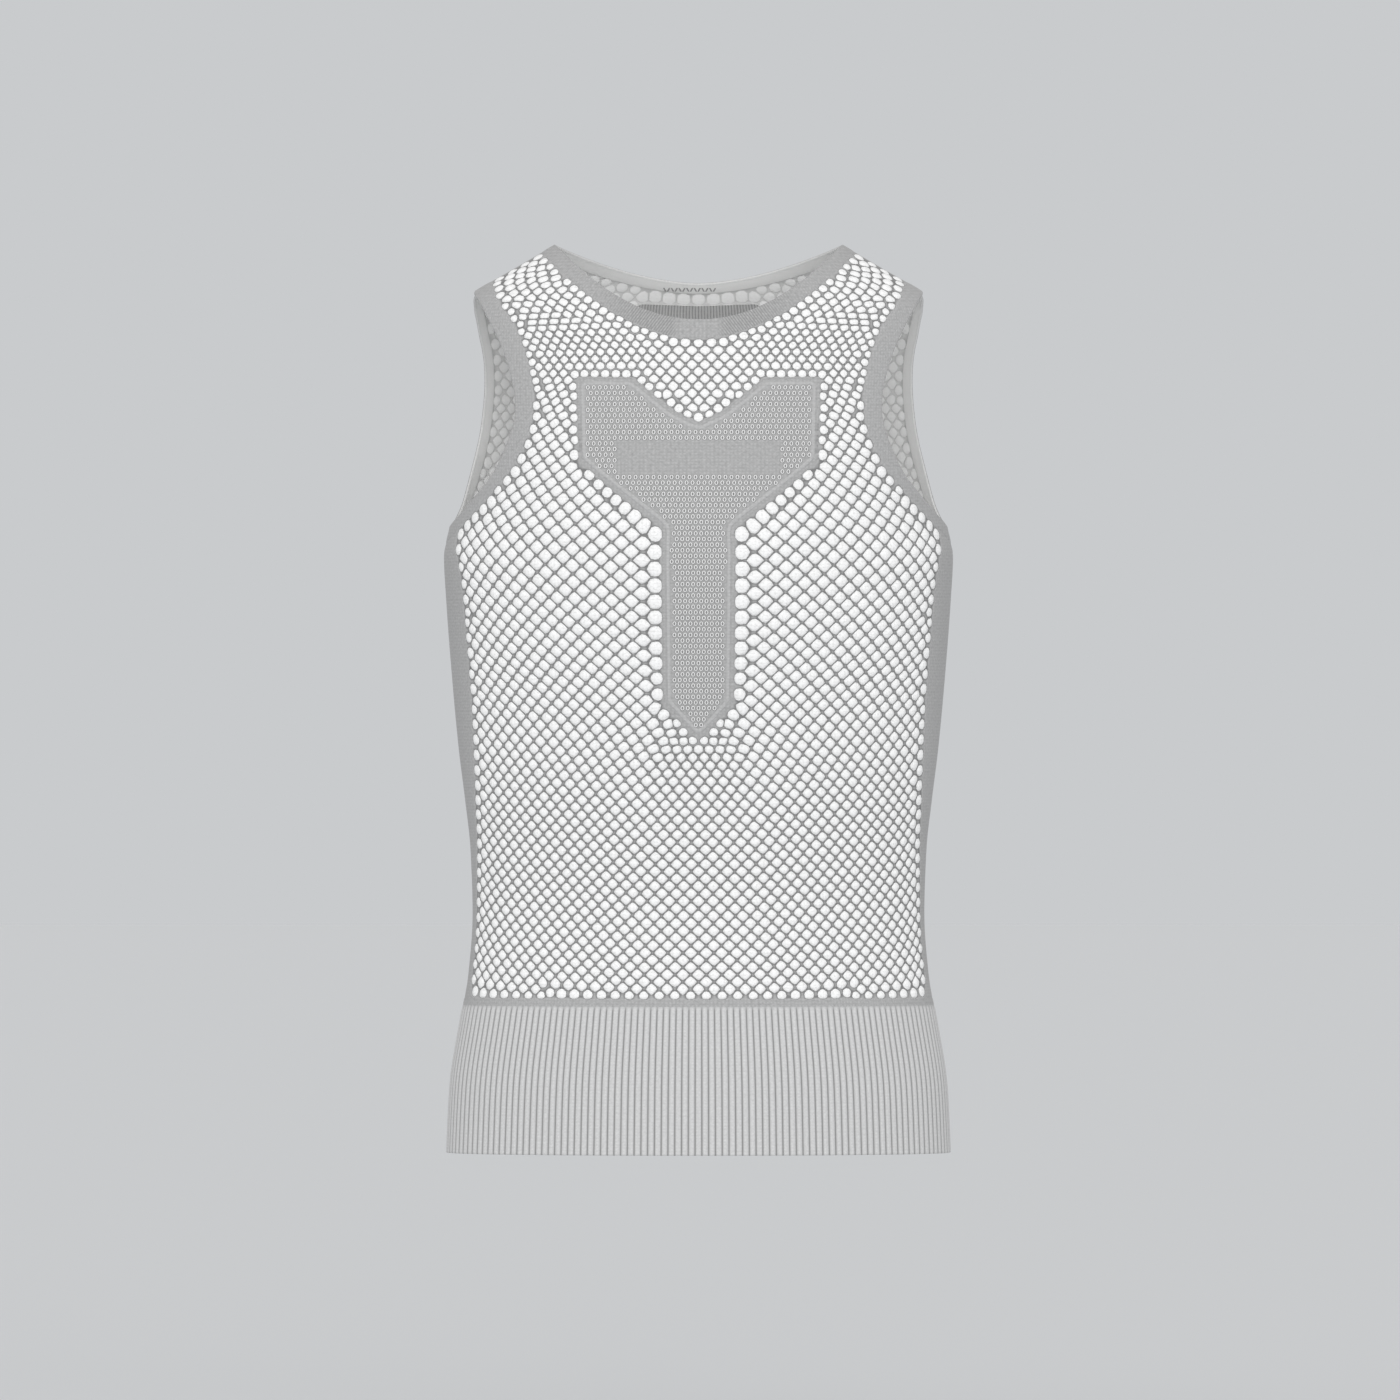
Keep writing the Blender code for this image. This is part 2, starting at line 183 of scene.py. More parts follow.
@dataclass(frozen=True)
class ReliefFinish(KnitFinish):
    """Knit with a raised pattern, with painted shade where it dips into the grooves.

    The attribute fullness runs from 1 on top of the pattern to 0 at the bottom of a groove, where the
    painted shade is darkest.
    """

    # the colour of the painted shade at the bottom of a groove
    painted_groove_shade: str = "#828282"
    rim: float = 0.34              # share of the way to the top that the groove's painted shade reaches

    def _shade(self, tree: bpy.types.NodeTree, mix: bpy.types.NodeSocket) -> bpy.types.NodeSocket:
        """Colour the stitches, and darken them with painted shade towards the rim of each pillow."""
        stitches = super()._shade(tree, mix)
        fullness = add_node(tree, "Attribute", attribute_name="fullness").outputs["Fac"]
        rise = add_node(tree, "MapRange", {"Value": fullness, "From Min": 0.0, "From Max": self.rim,
                                           "To Min": 0.0, "To Max": 1.0}, interpolation_type="SMOOTHSTEP")
        blend = add_node(tree, "Mix", {"Factor": rise.outputs["Result"]}, data_type="RGBA")
        # painted shade: the groove's colour, laid over the stitches where fullness is low
        blend.inputs[6].default_value = srgb(self.painted_groove_shade)
        tree.links.new(stitches, blend.inputs[7])
        return blend.outputs[2]


@dataclass(frozen=True)
class FannedFinish(KnitFinish):
    """Knit whose wales fan out on both sides of the centre front, where the band is stretched most."""

    pitch: float = 2.2             # millimetres between the lines, drawn a little coarser than they are
    slant: float = 0.75            # millimetres that a line moves outward for each one downward
    spans: tuple = (13.0, 20.0, 45.0, 75.0)    # millimetres aside where they start, are full, fade and end
    front: float = -10.0           # they fade in from the middle of the body forward to here
    depth: float = 0.75            # how dark they are
    gap: float = -0.6              # the height of their wave, from -1 to 1, that leaves the knit plain

    def _shade(self, tree: bpy.types.NodeTree, mix: bpy.types.NodeSocket) -> bpy.types.NodeSocket:
        """Draw fine slanted lines over the stitches."""
        stitches = super()._shade(tree, mix)
        place = add_node(tree, "TexCoord").outputs["Object"]
        x, y, z = add_node(tree, "SeparateXYZ", {"Vector": place}).outputs
        aside = add_node(tree, "Math", {0: x}, operation="ABSOLUTE").outputs[0]
        along = add_node(tree, "Math", {0: z, 1: self.slant, 2: aside}, operation="MULTIPLY_ADD").outputs[0]
        turn = add_node(tree, "Math", {0: along, 1: math.tau / (self.pitch * MM)},
                        operation="MULTIPLY").outputs[0]
        lines = add_node(tree, "Math", {0: turn}, operation="SINE").outputs[0]
        factor = self._ramp(tree, lines, (self.gap, 1.0), (0.0, self.depth))
        start, full, fade, end = (distance * MM for distance in self.spans)
        for value, limits in ((aside, (start, full)), (aside, (end, fade)), (y, (0.0, self.front * MM))):
            mask = self._ramp(tree, value, limits, (0.0, 1.0))
            factor = add_node(tree, "Math", {0: factor, 1: mask}, operation="MULTIPLY").outputs[0]
        blend = add_node(tree, "Mix", {"Factor": factor}, data_type="RGBA")
        tree.links.new(stitches, blend.inputs[6])
        blend.inputs[7].default_value = srgb(self.dark)
        return blend.outputs[2]

    @staticmethod
    def _ramp(tree: bpy.types.NodeTree, value: bpy.types.NodeSocket, limits: tuple[float, float],
              results: tuple[float, float]) -> bpy.types.NodeSocket:
        """Turn a value between two limits into one between two results."""
        return add_node(tree, "MapRange", {"Value": value, "From Min": limits[0], "From Max": limits[1],
                                           "To Min": results[0], "To Max": results[1]}).outputs["Result"]


# ---------------------------------------------------------------- the body form
@dataclass(frozen=True)
class BodyForm:
    """The smooth body that the garment is stretched on, as level sections in millimetres."""

    neck_point: float = 660.0      # top of the shoulder at the neck, above the floor of the pattern
    sections: tuple = (
        # height, half_width, front_depth, back_depth
        (0.0, 182.2, 87.0, 105.0),
        (50.0, 179.7, 85.0, 102.0),
        (98.0, 172.2, 80.0, 94.0),
        (130.0, 166.4, 76.5, 86.0),
        (175.0, 163.2, 75.0, 80.0),
        (221.0, 164.7, 78.5, 79.5),
        (258.0, 168.7, 83.0, 82.0),
        (294.0, 173.2, 88.5, 86.5),
        (345.0, 178.0, 96.5, 94.0),
        (403.0, 182.4, 104.0, 102.5),
        (434.0, 184.0, 106.0, 106.5),
        (455.0, 179.8, 105.5, 108.5),
        (475.0, 176.6, 104.0, 109.5),
        (510.0, 175.8, 99.5, 107.5),
        (550.0, 177.4, 90.0, 100.5),
        (590.0, 178.6, 76.5, 88.5),
        (610.0, 176.4, 67.0, 79.5),
        (619.0, 171.6, 62.0, 75.0),
        (626.0, 161.8, 57.5, 70.5),
        (643.0, 132.5, 46.0, 57.5),
        (660.0, 103.6, 32.0, 41.0),
        (668.0, 89.8, 26.0, 33.0),
    )

    def read(self, column: int, heights: np.ndarray) -> np.ndarray:
        """Read a column of the sections at any heights, with a curve that never overshoots.

        Args:
            column: Number of the column, 1 to 3.
            heights: Heights in millimetres.

        Returns:
            The column's values there.
        """
        table = np.array(self.sections)
        keys, values = table[:, 0], table[:, column]
        slopes = np.diff(values) / np.diff(keys)
        before, after = slopes[:-1], slopes[1:]
        same = before * after > 0
        middle = np.where(same, 2 * before * after / np.where(same, before + after, 1.0), 0.0)
        tangents = np.concatenate([slopes[:1], middle, slopes[-1:]])
        i = np.clip(np.searchsorted(keys, heights) - 1, 0, len(keys) - 2)
        step = keys[i + 1] - keys[i]
        t = (heights - keys[i]) / step
        return ((2 * t ** 3 - 3 * t ** 2 + 1) * values[i] + (t ** 3 - 2 * t ** 2 + t) * step * tangents[i]
                + (3 * t ** 2 - 2 * t ** 3) * values[i + 1] + (t ** 3 - t ** 2) * step * tangents[i + 1])

    def half_width(self, heights: np.ndarray) -> np.ndarray:
        """Return half the form's width at some heights."""
        return self.read(1, heights)

    def surface(self, points: np.ndarray) -> np.ndarray:
        """Lay (angle, height) points on the form, in millimetres from the origin."""
        turn = np.radians(points[:, 0])
        heights = points[:, 1]
        depth = np.where(np.cos(turn) > 0, self.read(2, heights), self.read(3, heights))
        return np.stack([self.half_width(heights) * np.sin(turn), -depth * np.cos(turn),
                         heights - self.neck_point], axis=1)

    def slopes(self, points: np.ndarray) -> tuple[np.ndarray, np.ndarray]:
        """Return how the surface runs for each degree and for each millimetre of height."""
        turn, rise = np.array([0.5, 0.0]), np.array([0.0, 0.5])
        return (self.surface(points + turn) - self.surface(points - turn),
                self.surface(points + rise) - self.surface(points - rise))

    def lay(self, points: np.ndarray, lifts: np.ndarray) -> np.ndarray:
        """Lay points on the form and lift them off it.

        Args:
            points: Rows of angle and height.
            lifts: Distance of each point outside the form, in millimetres.

        Returns:
            Rows of x, y and z in metres.
        """
        around, upward = self.slopes(points)
        out = np.cross(around, upward)
        out /= np.linalg.norm(out, axis=1, keepdims=True)
        return (self.surface(points) + out * lifts[:, None]) * MM

    def stretch(self, points: np.ndarray) -> np.ndarray:
        """Return how many real millimetres a degree and a millimetre of height are, at each point."""
        return np.stack([np.linalg.norm(run, axis=1) for run in self.slopes(points)], axis=1)


FORM = BodyForm()


# ---------------------------------------------------------------- flat geometry
def batches(count: int, size: int = 400) -> Iterator[slice]:
    """Cut a long array into slices, so that wide tables of it take little memory."""
    return (slice(first, first + size) for first in range(0, count, size))


def mirrored(points: np.ndarray) -> np.ndarray:
    """Mirror pattern points from one half of the body to the other."""
    return points * np.array([-1.0, 1.0])


def turned(points: np.ndarray) -> np.ndarray:
    """Turn points between the planes of the front and of the back."""
    return mirrored(points) + np.array([180.0, 0.0])


def circle(count: int) -> np.ndarray:
    """List directions evenly round a circle."""
    turns = np.linspace(0.0, math.tau, count, endpoint=False)
    return np.stack([np.cos(turns), np.sin(turns)], axis=1)


def distances(points: np.ndarray, loops: list[np.ndarray], scale: np.ndarray) -> np.ndarray:
    """Measure how far points lie from closed loops, in real millimetres.

    Args:
        points: Rows of angle and height.
        loops: Closed loops of the same kind of rows.
        scale: What a unit of each column is worth at each point.

    Returns:
        The distance of each point to the nearest loop.
    """
    nearest = np.full(len(points), np.inf)
    starts = np.concatenate(loops)
    runs = np.concatenate([np.roll(loop, -1, axis=0) - loop for loop in loops])
    for part in batches(len(points)):
        scaled = scale[part, None, :]
        away = (points[part, None, :] - starts[None]) * scaled
        run = runs[None] * scaled
        share = np.clip((away * run).sum(2) / np.maximum((run * run).sum(2), 1e-12), 0.0, 1.0)
        nearest[part] = np.linalg.norm(away - run * share[..., None], axis=2).min(axis=1)
    return nearest


def within(points: np.ndarray, loops: list[np.ndarray]) -> np.ndarray:
    """Tell which points lie inside an odd number of closed loops."""
    crossings = np.zeros(len(points), dtype=int)
    for loop in loops:
        for a, b in zip(loop, np.roll(loop, -1, axis=0)):
            if a[1] != b[1]:
                spans = (a[1] > points[:, 1]) != (b[1] > points[:, 1])
                cross = a[0] + (points[:, 1] - a[1]) * (b[0] - a[0]) / (b[1] - a[1])
                crossings += spans & (points[:, 0] < cross)
    return crossings % 2 == 1


def respaced(line: np.ndarray, spacing: float) -> np.ndarray:
    """Space points evenly along a line of (angle, height), in real millimetres, with both its ends."""
    middle = (line[1:] + line[:-1]) / 2
    steps = np.linalg.norm(np.diff(line, axis=0) * FORM.stretch(middle), axis=1)
    along = np.concatenate([[0.0], np.cumsum(steps)])
    marks = np.linspace(0.0, along[-1], max(2, round(along[-1] / spacing) + 1))
    return np.stack([np.interp(marks, along, line[:, k]) for k in (0, 1)], axis=1)


def respaced_loop(loop: np.ndarray, spacing: float) -> np.ndarray:
    """Space points evenly round a closed loop, in real millimetres."""
    return respaced(np.concatenate([loop, loop[:1]]), spacing)[:-1]


def crosswise(loop: np.ndarray) -> np.ndarray:
    """Find the direction that lies square to a closed loop at each of its points, on the form."""
    along = (np.roll(loop, -1, axis=0) - np.roll(loop, 1, axis=0)) * FORM.stretch(loop)
    along /= np.linalg.norm(along, axis=1, keepdims=True)
    return np.stack([along[:, 1], -along[:, 0]], axis=1)


def joined(lines: list[np.ndarray]) -> np.ndarray:
    """Join lines end to end, and keep each shared point once."""
    return np.concatenate([lines[0]] + [line[1:] for line in lines[1:]])


def mirrored_loop(half: np.ndarray) -> np.ndarray:
    """Close a line that starts and ends at the middle with its own mirror image."""
    return np.concatenate([half, mirrored(half[::-1][1:-1])])


def curve(points: np.ndarray, closed: bool = False) -> np.ndarray:
    """Run a smooth curve through rows of points, and return it as a dense line."""
    if closed:
        ends = np.concatenate([points[-1:], points, points[:2]])
    else:
        ends = np.concatenate([2 * points[:1] - points[1:2], points, 2 * points[-1:] - points[-2:-1]])
    t = np.linspace(0.0, 1.0, CURVE_STEPS + 1)[:-1, None]
    stretches = []
    for p0, p1, p2, p3 in zip(ends, ends[1:], ends[2:], ends[3:]):
        stretches.append(0.5 * (2 * p1 + (p2 - p0) * t + (2 * p0 - 5 * p1 + 4 * p2 - p3) * t ** 2
                                + (3 * p1 - p0 - 3 * p2 + p3) * t ** 3))
    return np.concatenate(stretches + ([] if closed else [points[-1:]]))


def bent(start: np.ndarray, corner: np.ndarray, end: np.ndarray, count: int) -> np.ndarray:
    """Bend a line of some points from a start to an end, pulled towards the corner between them."""
    t = np.linspace(0.0, 1.0, count)[:, None]
    return (start * (1 - t) + corner * t) * (1 - t) + (corner * (1 - t) + end * t) * t


def rounded(corners: tuple) -> np.ndarray:
    """Join (x, height, radius) corners with straight lines, each corner rounded to its radius."""
    line = [np.array(corners[0][:2])]
    for before, corner, after in zip(corners, corners[1:], corners[2:]):
        here = np.array(corner[:2])
        inward = np.array(before[:2]) - here
        outward = np.array(after[:2]) - here
        inward, outward = inward / np.linalg.norm(inward), outward / np.linalg.norm(outward)
        half_angle = math.acos(np.clip(inward @ outward, -1.0, 1.0)) / 2
        reach = corner[2] / math.tan(half_angle)
        line += list(bent(here + inward * reach, here, here + outward * reach, 6))
    line.append(np.array(corners[-1][:2]))
    return np.array(line)


def from_front(offsets: np.ndarray, heights: np.ndarray) -> np.ndarray:
    """Find the pattern points at some offsets from the centre line, as seen from the front."""
    angles = np.degrees(np.arcsin(np.clip(offsets / FORM.half_width(heights), -1.0, 1.0)))
    return np.stack([angles, heights], axis=1)


# ---------------------------------------------------------------- the lines that pieces share
@dataclass(frozen=True)
class PatternLines:
    """Seams and edges of the garment's left half, drawn on the pattern."""

    spacing: float = 3.0
    hem: float = 1.5
    waistband_top: float = 109.0
    border_top: float = 113.6
    net_corner_radius: float = 18.0
    neck: tuple = (
        # name, half_width, shoulder_height, centre_height, power
        ("front_edge", 103.6, 660.0, 604.7, 2.05),
        ("back_edge", 103.6, 660.0, 634.0, 1.7),
        ("front_seam", 113.3, 654.4, 590.6, 1.9),
        ("back_seam", 113.3, 654.4, 627.0, 1.75),
    )
    armhole_edge: tuple = (
        # angle, height, from the shoulder down the front and up the back
        (90.0, 626.0), (68.0, 619.0), (57.5, 601.5), (51.2, 576.5), (48.3, 545.0), (50.5, 522.0),
        (57.7, 493.5), (68.8, 473.0), (79.5, 461.0), (90.0, 456.0), (97.5, 459.0), (104.5, 474.5),
        (112.0, 506.0), (116.9, 534.5), (119.0, 564.0), (117.7, 588.5), (111.8, 613.0), (101.5, 623.8),
    )
    armhole_seam: tuple = (
        (90.0, 633.0), (69.0, 627.5), (54.2, 613.0), (45.8, 588.5), (42.6, 550.0), (44.7, 520.5),
        (51.8, 493.5), (63.2, 470.5), (73.5, 455.6), (81.8, 447.3), (90.0, 444.0), (98.0, 447.8),
        (104.8, 458.5), (109.6, 472.5), (116.3, 502.0), (121.0, 533.0), (122.9, 565.0), (121.4, 591.5),
        (114.8, 618.5), (103.2, 630.2),
    )
    strip_front: int = 8           # rows of armhole_seam where the side strip starts and ends
    strip_back: int = 12
    side_strip: tuple = (
        # angle, height, of its front edge from the armhole band down
        (74.6, 447.0), (72.6, 436.0), (70.2, 422.0), (69.0, 398.0), (68.8, 330.0), (70.8, 287.0),
        (75.6, 236.0), (79.4, 185.0), (80.0, 150.0),
    )

    def neck_line(self, name: str) -> np.ndarray:
        """Follow a neck line from the centre to the shoulder, in the plane of its own side."""
        half, top, bottom, power = next(row[1:] for row in self.neck if row[0] == name)
        share = np.sin(np.radians(np.linspace(0.0, 90.0, 121)))
        line = from_front(half * share, bottom + (top - bottom) * share ** power)
        line[-1] = (90.0, top)
        return respaced(line, self.spacing)

    def armhole(self, rows: tuple) -> np.ndarray:
        """Follow an armhole table all the way round the arm, from the shoulder down the front."""
        return curve(np.array(rows), closed=True)

    def armhole_part(self, first: int, last: int) -> np.ndarray:
        """Follow the armhole seam between two of its rows."""
        rows = range(first * CURVE_STEPS, last * CURVE_STEPS + 1)
        return respaced(np.take(self.armhole(self.armhole_seam), rows, axis=0, mode="wrap"), self.spacing)

    def strip_edge(self) -> np.ndarray:
        """Follow the front edge of the side strip down to the border, round the net's corner."""
        rows = np.array(self.side_strip)
        corner = np.array([rows[-1][0], self.border_top])
        start = corner + np.array([0.0, self.net_corner_radius])
        end = corner - np.array([self.net_corner_radius, 0.0]) / PLANE_SCALE
        edge = curve(np.concatenate([[self.armhole_seam[self.strip_front]], rows, [start]]))
        return respaced(joined([edge, bent(start, corner, end, 9)]), self.spacing)


LINES = PatternLines()


# ---------------------------------------------------------------- cloth meshes
WELD_SIZE = 0.02               # points of a wall nearer than this are one, in millimetres
OFF_GRID = 0.0137              # keeps round numbers off the edges of the cells they are sorted into
SHARP_ANGLE = math.radians(62.0)               # edges of a wall that turn more than this stay sharp
CUT_REACH = 0.25               # millimetres over which a cut edge is rounded
CUT_END = 0.75                 # share of its thickness that a wall keeps at a cut edge
FOLD_END = 0.15                # and at a folded one


@dataclass
class ClothWall:
    """A closed wall of cloth: a net of faces on the form, with a lift for its outer and inner skin."""

    name: str
    points: np.ndarray             # rows of angle and height, in the plane of the wall's side
    faces: list
    outer: np.ndarray
    inner: np.ndarray
    side: Side = Side.FRONT
    fullness: np.ndarray | None = None         # 1 on top of a raised pattern and 0 at its foot, where the finish paints shade
    lining: list | None = None     # faces of the inner skin, where they are fewer than the outer's
    paleness: np.ndarray | None = None         # how pale the inner skin is

    def laid(self, lifts: np.ndarray) -> np.ndarray:
        """Lay the wall's points on the form at some lifts, in metres."""
        return FORM.lay(turned(self.points) if self.side is Side.BACK else self.points, lifts)

    def build(self) -> bpy.types.Object:
        """Make the mesh, with its skins joined along every edge, and return its object."""
        outer, inner = self.laid(self.outer), self.laid(self.inner)
        spots = np.round((outer / MM + OFF_GRID) / WELD_SIZE)
        _, first, weld = np.unique(spots, axis=0, return_index=True, return_inverse=True)
        weld = weld.ravel()
        count = len(first)
        skin = [tuple(face) for face in self.faces]
        lining = [tuple(face) for face in self.lining or self.faces]
        used = np.zeros(count, dtype=bool)
        used[weld[[i for face in lining for i in face]]] = True
        below = count + np.cumsum(used) - 1
        verts = np.concatenate([outer[first], inner[first][used]])
        if self._points_inward(skin[0], outer):
            skin = [face[::-1] for face in skin]
            lining = [face[::-1] for face in lining]
        corners = [list(face) for face in skin] + [list(face[::-1]) for face in lining]
        welded = [[weld[i] for i in face] for face in skin]
        faces = welded + [[below[weld[i]] for i in face[::-1]] for face in lining]
        for a, b, ia, ib in self._rim(welded, skin):
            faces.append([b, a, below[a], below[b]])
            corners.append([ib, ia, ia, ib])
        mesh = bpy.data.meshes.new(self.name)
        mesh.from_pydata(verts.tolist(), [], faces)
        self._unwrap(mesh, corners)
        pale = np.ones(count) if self.paleness is None else self.paleness[first]
        marks = {"inward": np.concatenate([np.zeros(count), pale[used]])}
        if self.fullness is not None:
            full = self.fullness[first]
            marks["fullness"] = np.concatenate([full, full[used]])
        for mark, values in marks.items():
            mesh.attributes.new(mark, "FLOAT", "POINT").data.foreach_set("value", values.astype(np.float32))
        mesh.shade_smooth()
        mesh.set_sharp_from_angle(angle=SHARP_ANGLE)
        mesh.validate()
        piece = bpy.data.objects.new(self.name, mesh)
        bpy.context.scene.collection.objects.link(piece)
        return piece

    def _points_inward(self, face: tuple, outer: np.ndarray) -> bool:
        """Tell whether a face of the outer skin looks into the garment."""
        a, b, c = (outer[i] for i in face[:3])
        step = self.laid(self.outer + 1.0)[face[0]] - outer[face[0]]
        return float(np.cross(b - a, c - b) @ step) < 0

    @staticmethod
    def _rim(welded: list, skin: list) -> list:
        """List the skin's open edges, with the welded and the first numbers of their ends."""
        edges = {}
        for face, raw in zip(welded, skin):
            for k in range(len(face)):
                a, b = face[k], face[(k + 1) % len(face)]
                edges[(a, b)] = (raw[k], raw[(k + 1) % len(raw)])
        return [(a, b, *ends) for (a, b), ends in edges.items() if (b, a) not in edges]

    def _unwrap(self, mesh: bpy.types.Mesh, corners: list) -> None:
        """Give the mesh a map of its cloth, in metres."""
        layer = mesh.uv_layers.new(name="cloth")
        flat = self.points * (PLANE_SCALE * MM)
        picks = np.concatenate([np.array(face) for face in corners])
        layer.data.foreach_set("uv", flat[picks].astype(np.float32).ravel())


def edge_profile(distance: np.ndarray, half_wall: float, edge: Edge) -> np.ndarray:
    """Round a wall off towards its edge.

    Args:
        distance: How far each point is from the edge, in millimetres.
        half_wall: Half the wall's thickness.
        edge: How the wall ends.

    Returns:
        The lift of the outer skin at each point.
    """
    reach, low = (half_wall, FOLD_END) if edge is Edge.FOLDED else (CUT_REACH, CUT_END)
    share = np.clip(distance / reach, 0.0, 1.0)
    return half_wall * (low + (1 - low) * np.sqrt(1 - (1 - share) ** 2))


def grid_wall(name: str, points: np.ndarray, outer: np.ndarray, inner: np.ndarray, **marks) -> ClothWall:
    """Lay out a wall as a grid.

    Args:
        name: Name of the piece.
        points: Rows and columns of (angle, height).
        outer: Lift of the outer skin at each point.
        inner: Lift of the inner skin.
        **marks: The wall's other fields.

    Returns:
        The wall.
    """
    rows, columns = points.shape[:2]
    faces = [(r * columns + c, r * columns + c + 1, (r + 1) * columns + c + 1, (r + 1) * columns + c)
             for r in range(rows - 1) for c in range(columns - 1)]
    return ClothWall(name, points.reshape(-1, 2), faces, outer, inner, **marks)


def dome_faces(rings: int, count: int) -> list:
    """List the faces of a dome: rings of points one inside another, and a last point in the middle."""
    spokes = [(i, (i + 1) % count) for i in range(count)]
    faces = [(r * count + i, r * count + j, (r + 1) * count + j, (r + 1) * count + i)
             for r in range(rings - 1) for i, j in spokes]
    top = (rings - 1) * count
    return faces + [(top + i, top + j, top + count) for i, j in spokes]


def repeated(faces: list, size: int, count: int) -> list:
    """Repeat a shape's faces for a number of shapes that have the same number of points."""
    return [tuple(n * size + i for i in face) for n in range(count) for face in faces]


def triangles(points: np.ndarray, loops: list[np.ndarray], nearness: float = 1e-6) -> tuple:
    """Fill loops with triangles that use every given point.

    Args:
        points: The inner points, as rows of angle and height.
        loops: Closed loops. Their points are numbered first, in their order.
        nearness: Points of the pattern plane closer than this are one.

    Returns:
        All the points, the triangles, and the number that each point had, or -1 for one made where
        lines cross.
    """
    flat, edges = [], []
    for loop in loops:
        start = len(flat)
        flat += (loop * PLANE_SCALE).tolist()
        edges += [(start + i, start + (i + 1) % len(loop)) for i in range(len(loop))]
    flat += (points * PLANE_SCALE).tolist()
    verts, _, faces, origins, *_ = delaunay_2d_cdt([tuple(p) for p in flat], edges, [], 0, nearness)
    source = np.array([origin[0] if origin else -1 for origin in origins])
    return np.array([tuple(v) for v in verts]) / PLANE_SCALE, np.array(faces), source


def between(faces: np.ndarray, points: np.ndarray, loops: list[np.ndarray]) -> np.ndarray:
    """Keep the faces that lie between an outline and the holes in it."""
    return faces[within(points[faces].mean(axis=1), loops)]


def filling(outline: np.ndarray, spacing: float) -> np.ndarray:
    """Scatter a triangular grid of points inside a closed loop, clear of its edge."""
    low, high = outline.min(axis=0), outline.max(axis=0)
    wide = spacing / PLANE_SCALE[0]
    tall = spacing * math.sqrt(3) / 2
    rows, columns = int((high[1] - low[1]) / tall) + 1, int((high[0] - low[0]) / wide) + 1
    r, c = np.meshgrid(np.arange(rows), np.arange(columns), indexing="ij")
    points = np.stack([low[0] + (c + r % 2 / 2) * wide, low[1] + r * tall], axis=2).reshape(-1, 2)
    points = points[within(points, [outline])]
    return points[distances(points, [outline], FORM.stretch(points)) > spacing * 0.6]


def dress(piece: bpy.types.Object, material: bpy.types.Material, node: str) -> bpy.types.Object:
    """Give a piece its cloth and its place in the garment.

    Args:
        piece: The finished piece.
        material: What it is made of.
        node: The solid that it stands for.

    Returns:
        The piece.
    """
    piece.data.materials.append(material)
    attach(piece, "root")
    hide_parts(node)
    log.info("%s: %d faces", piece.name, len(piece.data.polygons))
    return piece


# ---------------------------------------------------------------- the net and its ground
@dataclass(frozen=True)
class Lattice:
    """Where the cells of one net lie: columns count outward from the middle, rows upward.

    A cell stands wherever its column and row are both even or both odd, so that the cells are diamonds
    whose corners meet.
    """

    side: Side
    rows: tuple                    # what each row holds stands above FRONT_ROWS
    inner_column: int = 7          # the column that the inner width is given for
    outer_column: int = 35         # the column that the outer angle is given for
    spare_columns: int = 4         # columns from there outward that may still fit
    rise: float = 8.0              # how steeply the rows climb past it

    def _read(self, column: int, rows: np.ndarray) -> np.ndarray:
        """Read a column of the table at any rows."""
        table = np.array(self.rows)
        return np.interp(rows, table[:, 0], table[:, column])

    def place(self, columns: np.ndarray, rows: np.ndarray) -> np.ndarray:
        """Find the pattern points of some lattice points.

        Args:
            columns: Their columns, at or outside the middle one.
            rows: Their rows.

        Returns:
            Rows of angle and height.
        """
        middle, sides, bend = (self._read(k, rows) for k in (1, 2, 3))
        even = (columns - self.inner_column) / (self.outer_column - self.inner_column)
        share = np.maximum(even, 0.0)
        heights = sides + (middle - sides) * np.maximum(1 - share, 0.0) ** bend
        heights += np.maximum(share - 1, 0.0) * self.rise
        inner = from_front(self._read(4, rows), heights)[:, 0]
        spread = np.sign(even) * np.abs(even) ** self._read(6, rows)
        angles = self._even_angle(heights, inner, self._read(5, rows), spread)
        angles = np.where(columns < self.inner_column, inner * columns / self.inner_column, angles)
        return np.stack([angles, heights], axis=1)

    def _even_angle(self, heights: np.ndarray, inner: np.ndarray, outer: np.ndarray,
                    share: np.ndarray) -> np.ndarray:
        """Divide the cloth between two angles evenly along its real width."""
        grid = np.linspace(0.0, 100.0, 101)
        wide = FORM.half_width(heights)[:, None]
        deep = FORM.read(2 if self.side is Side.FRONT else 3, heights)[:, None]
        turn = np.radians(grid)[None]
        speed = np.hypot(wide * np.cos(turn), deep * np.sin(turn))
        steps = (speed[:, 1:] + speed[:, :-1]) / 2
        arc = np.concatenate([np.zeros((len(heights), 1)), np.cumsum(steps, axis=1)], axis=1)
        found = np.empty(len(heights))
        for i, row in enumerate(arc):
            start, end = np.interp([inner[i], outer[i]], grid, row)
            found[i] = np.interp(start + (end - start) * share[i], row, grid)
        return found

    def centres(self) -> np.ndarray:
        """List the middles of every cell that may fit, on both halves, mirrored exactly."""
        table = np.array(self.rows)
        found = [(column, row) for row in range(int(table[0, 0]), int(table[-1, 0]) + 1)
                 for column in range(self.outer_column + self.spare_columns) if (column + row) % 2 == 0]
        columns, rows = np.array(found).T
        left = self.place(columns, rows)
        left[columns == 0, 0] = 0.0
        return np.concatenate([left, mirrored(left[columns > 0])])


SHARP = 20.0                   # a roundness at which a cell keeps its corners
FAR_OFF = 1e3                  # millimetres, further than any cell reaches


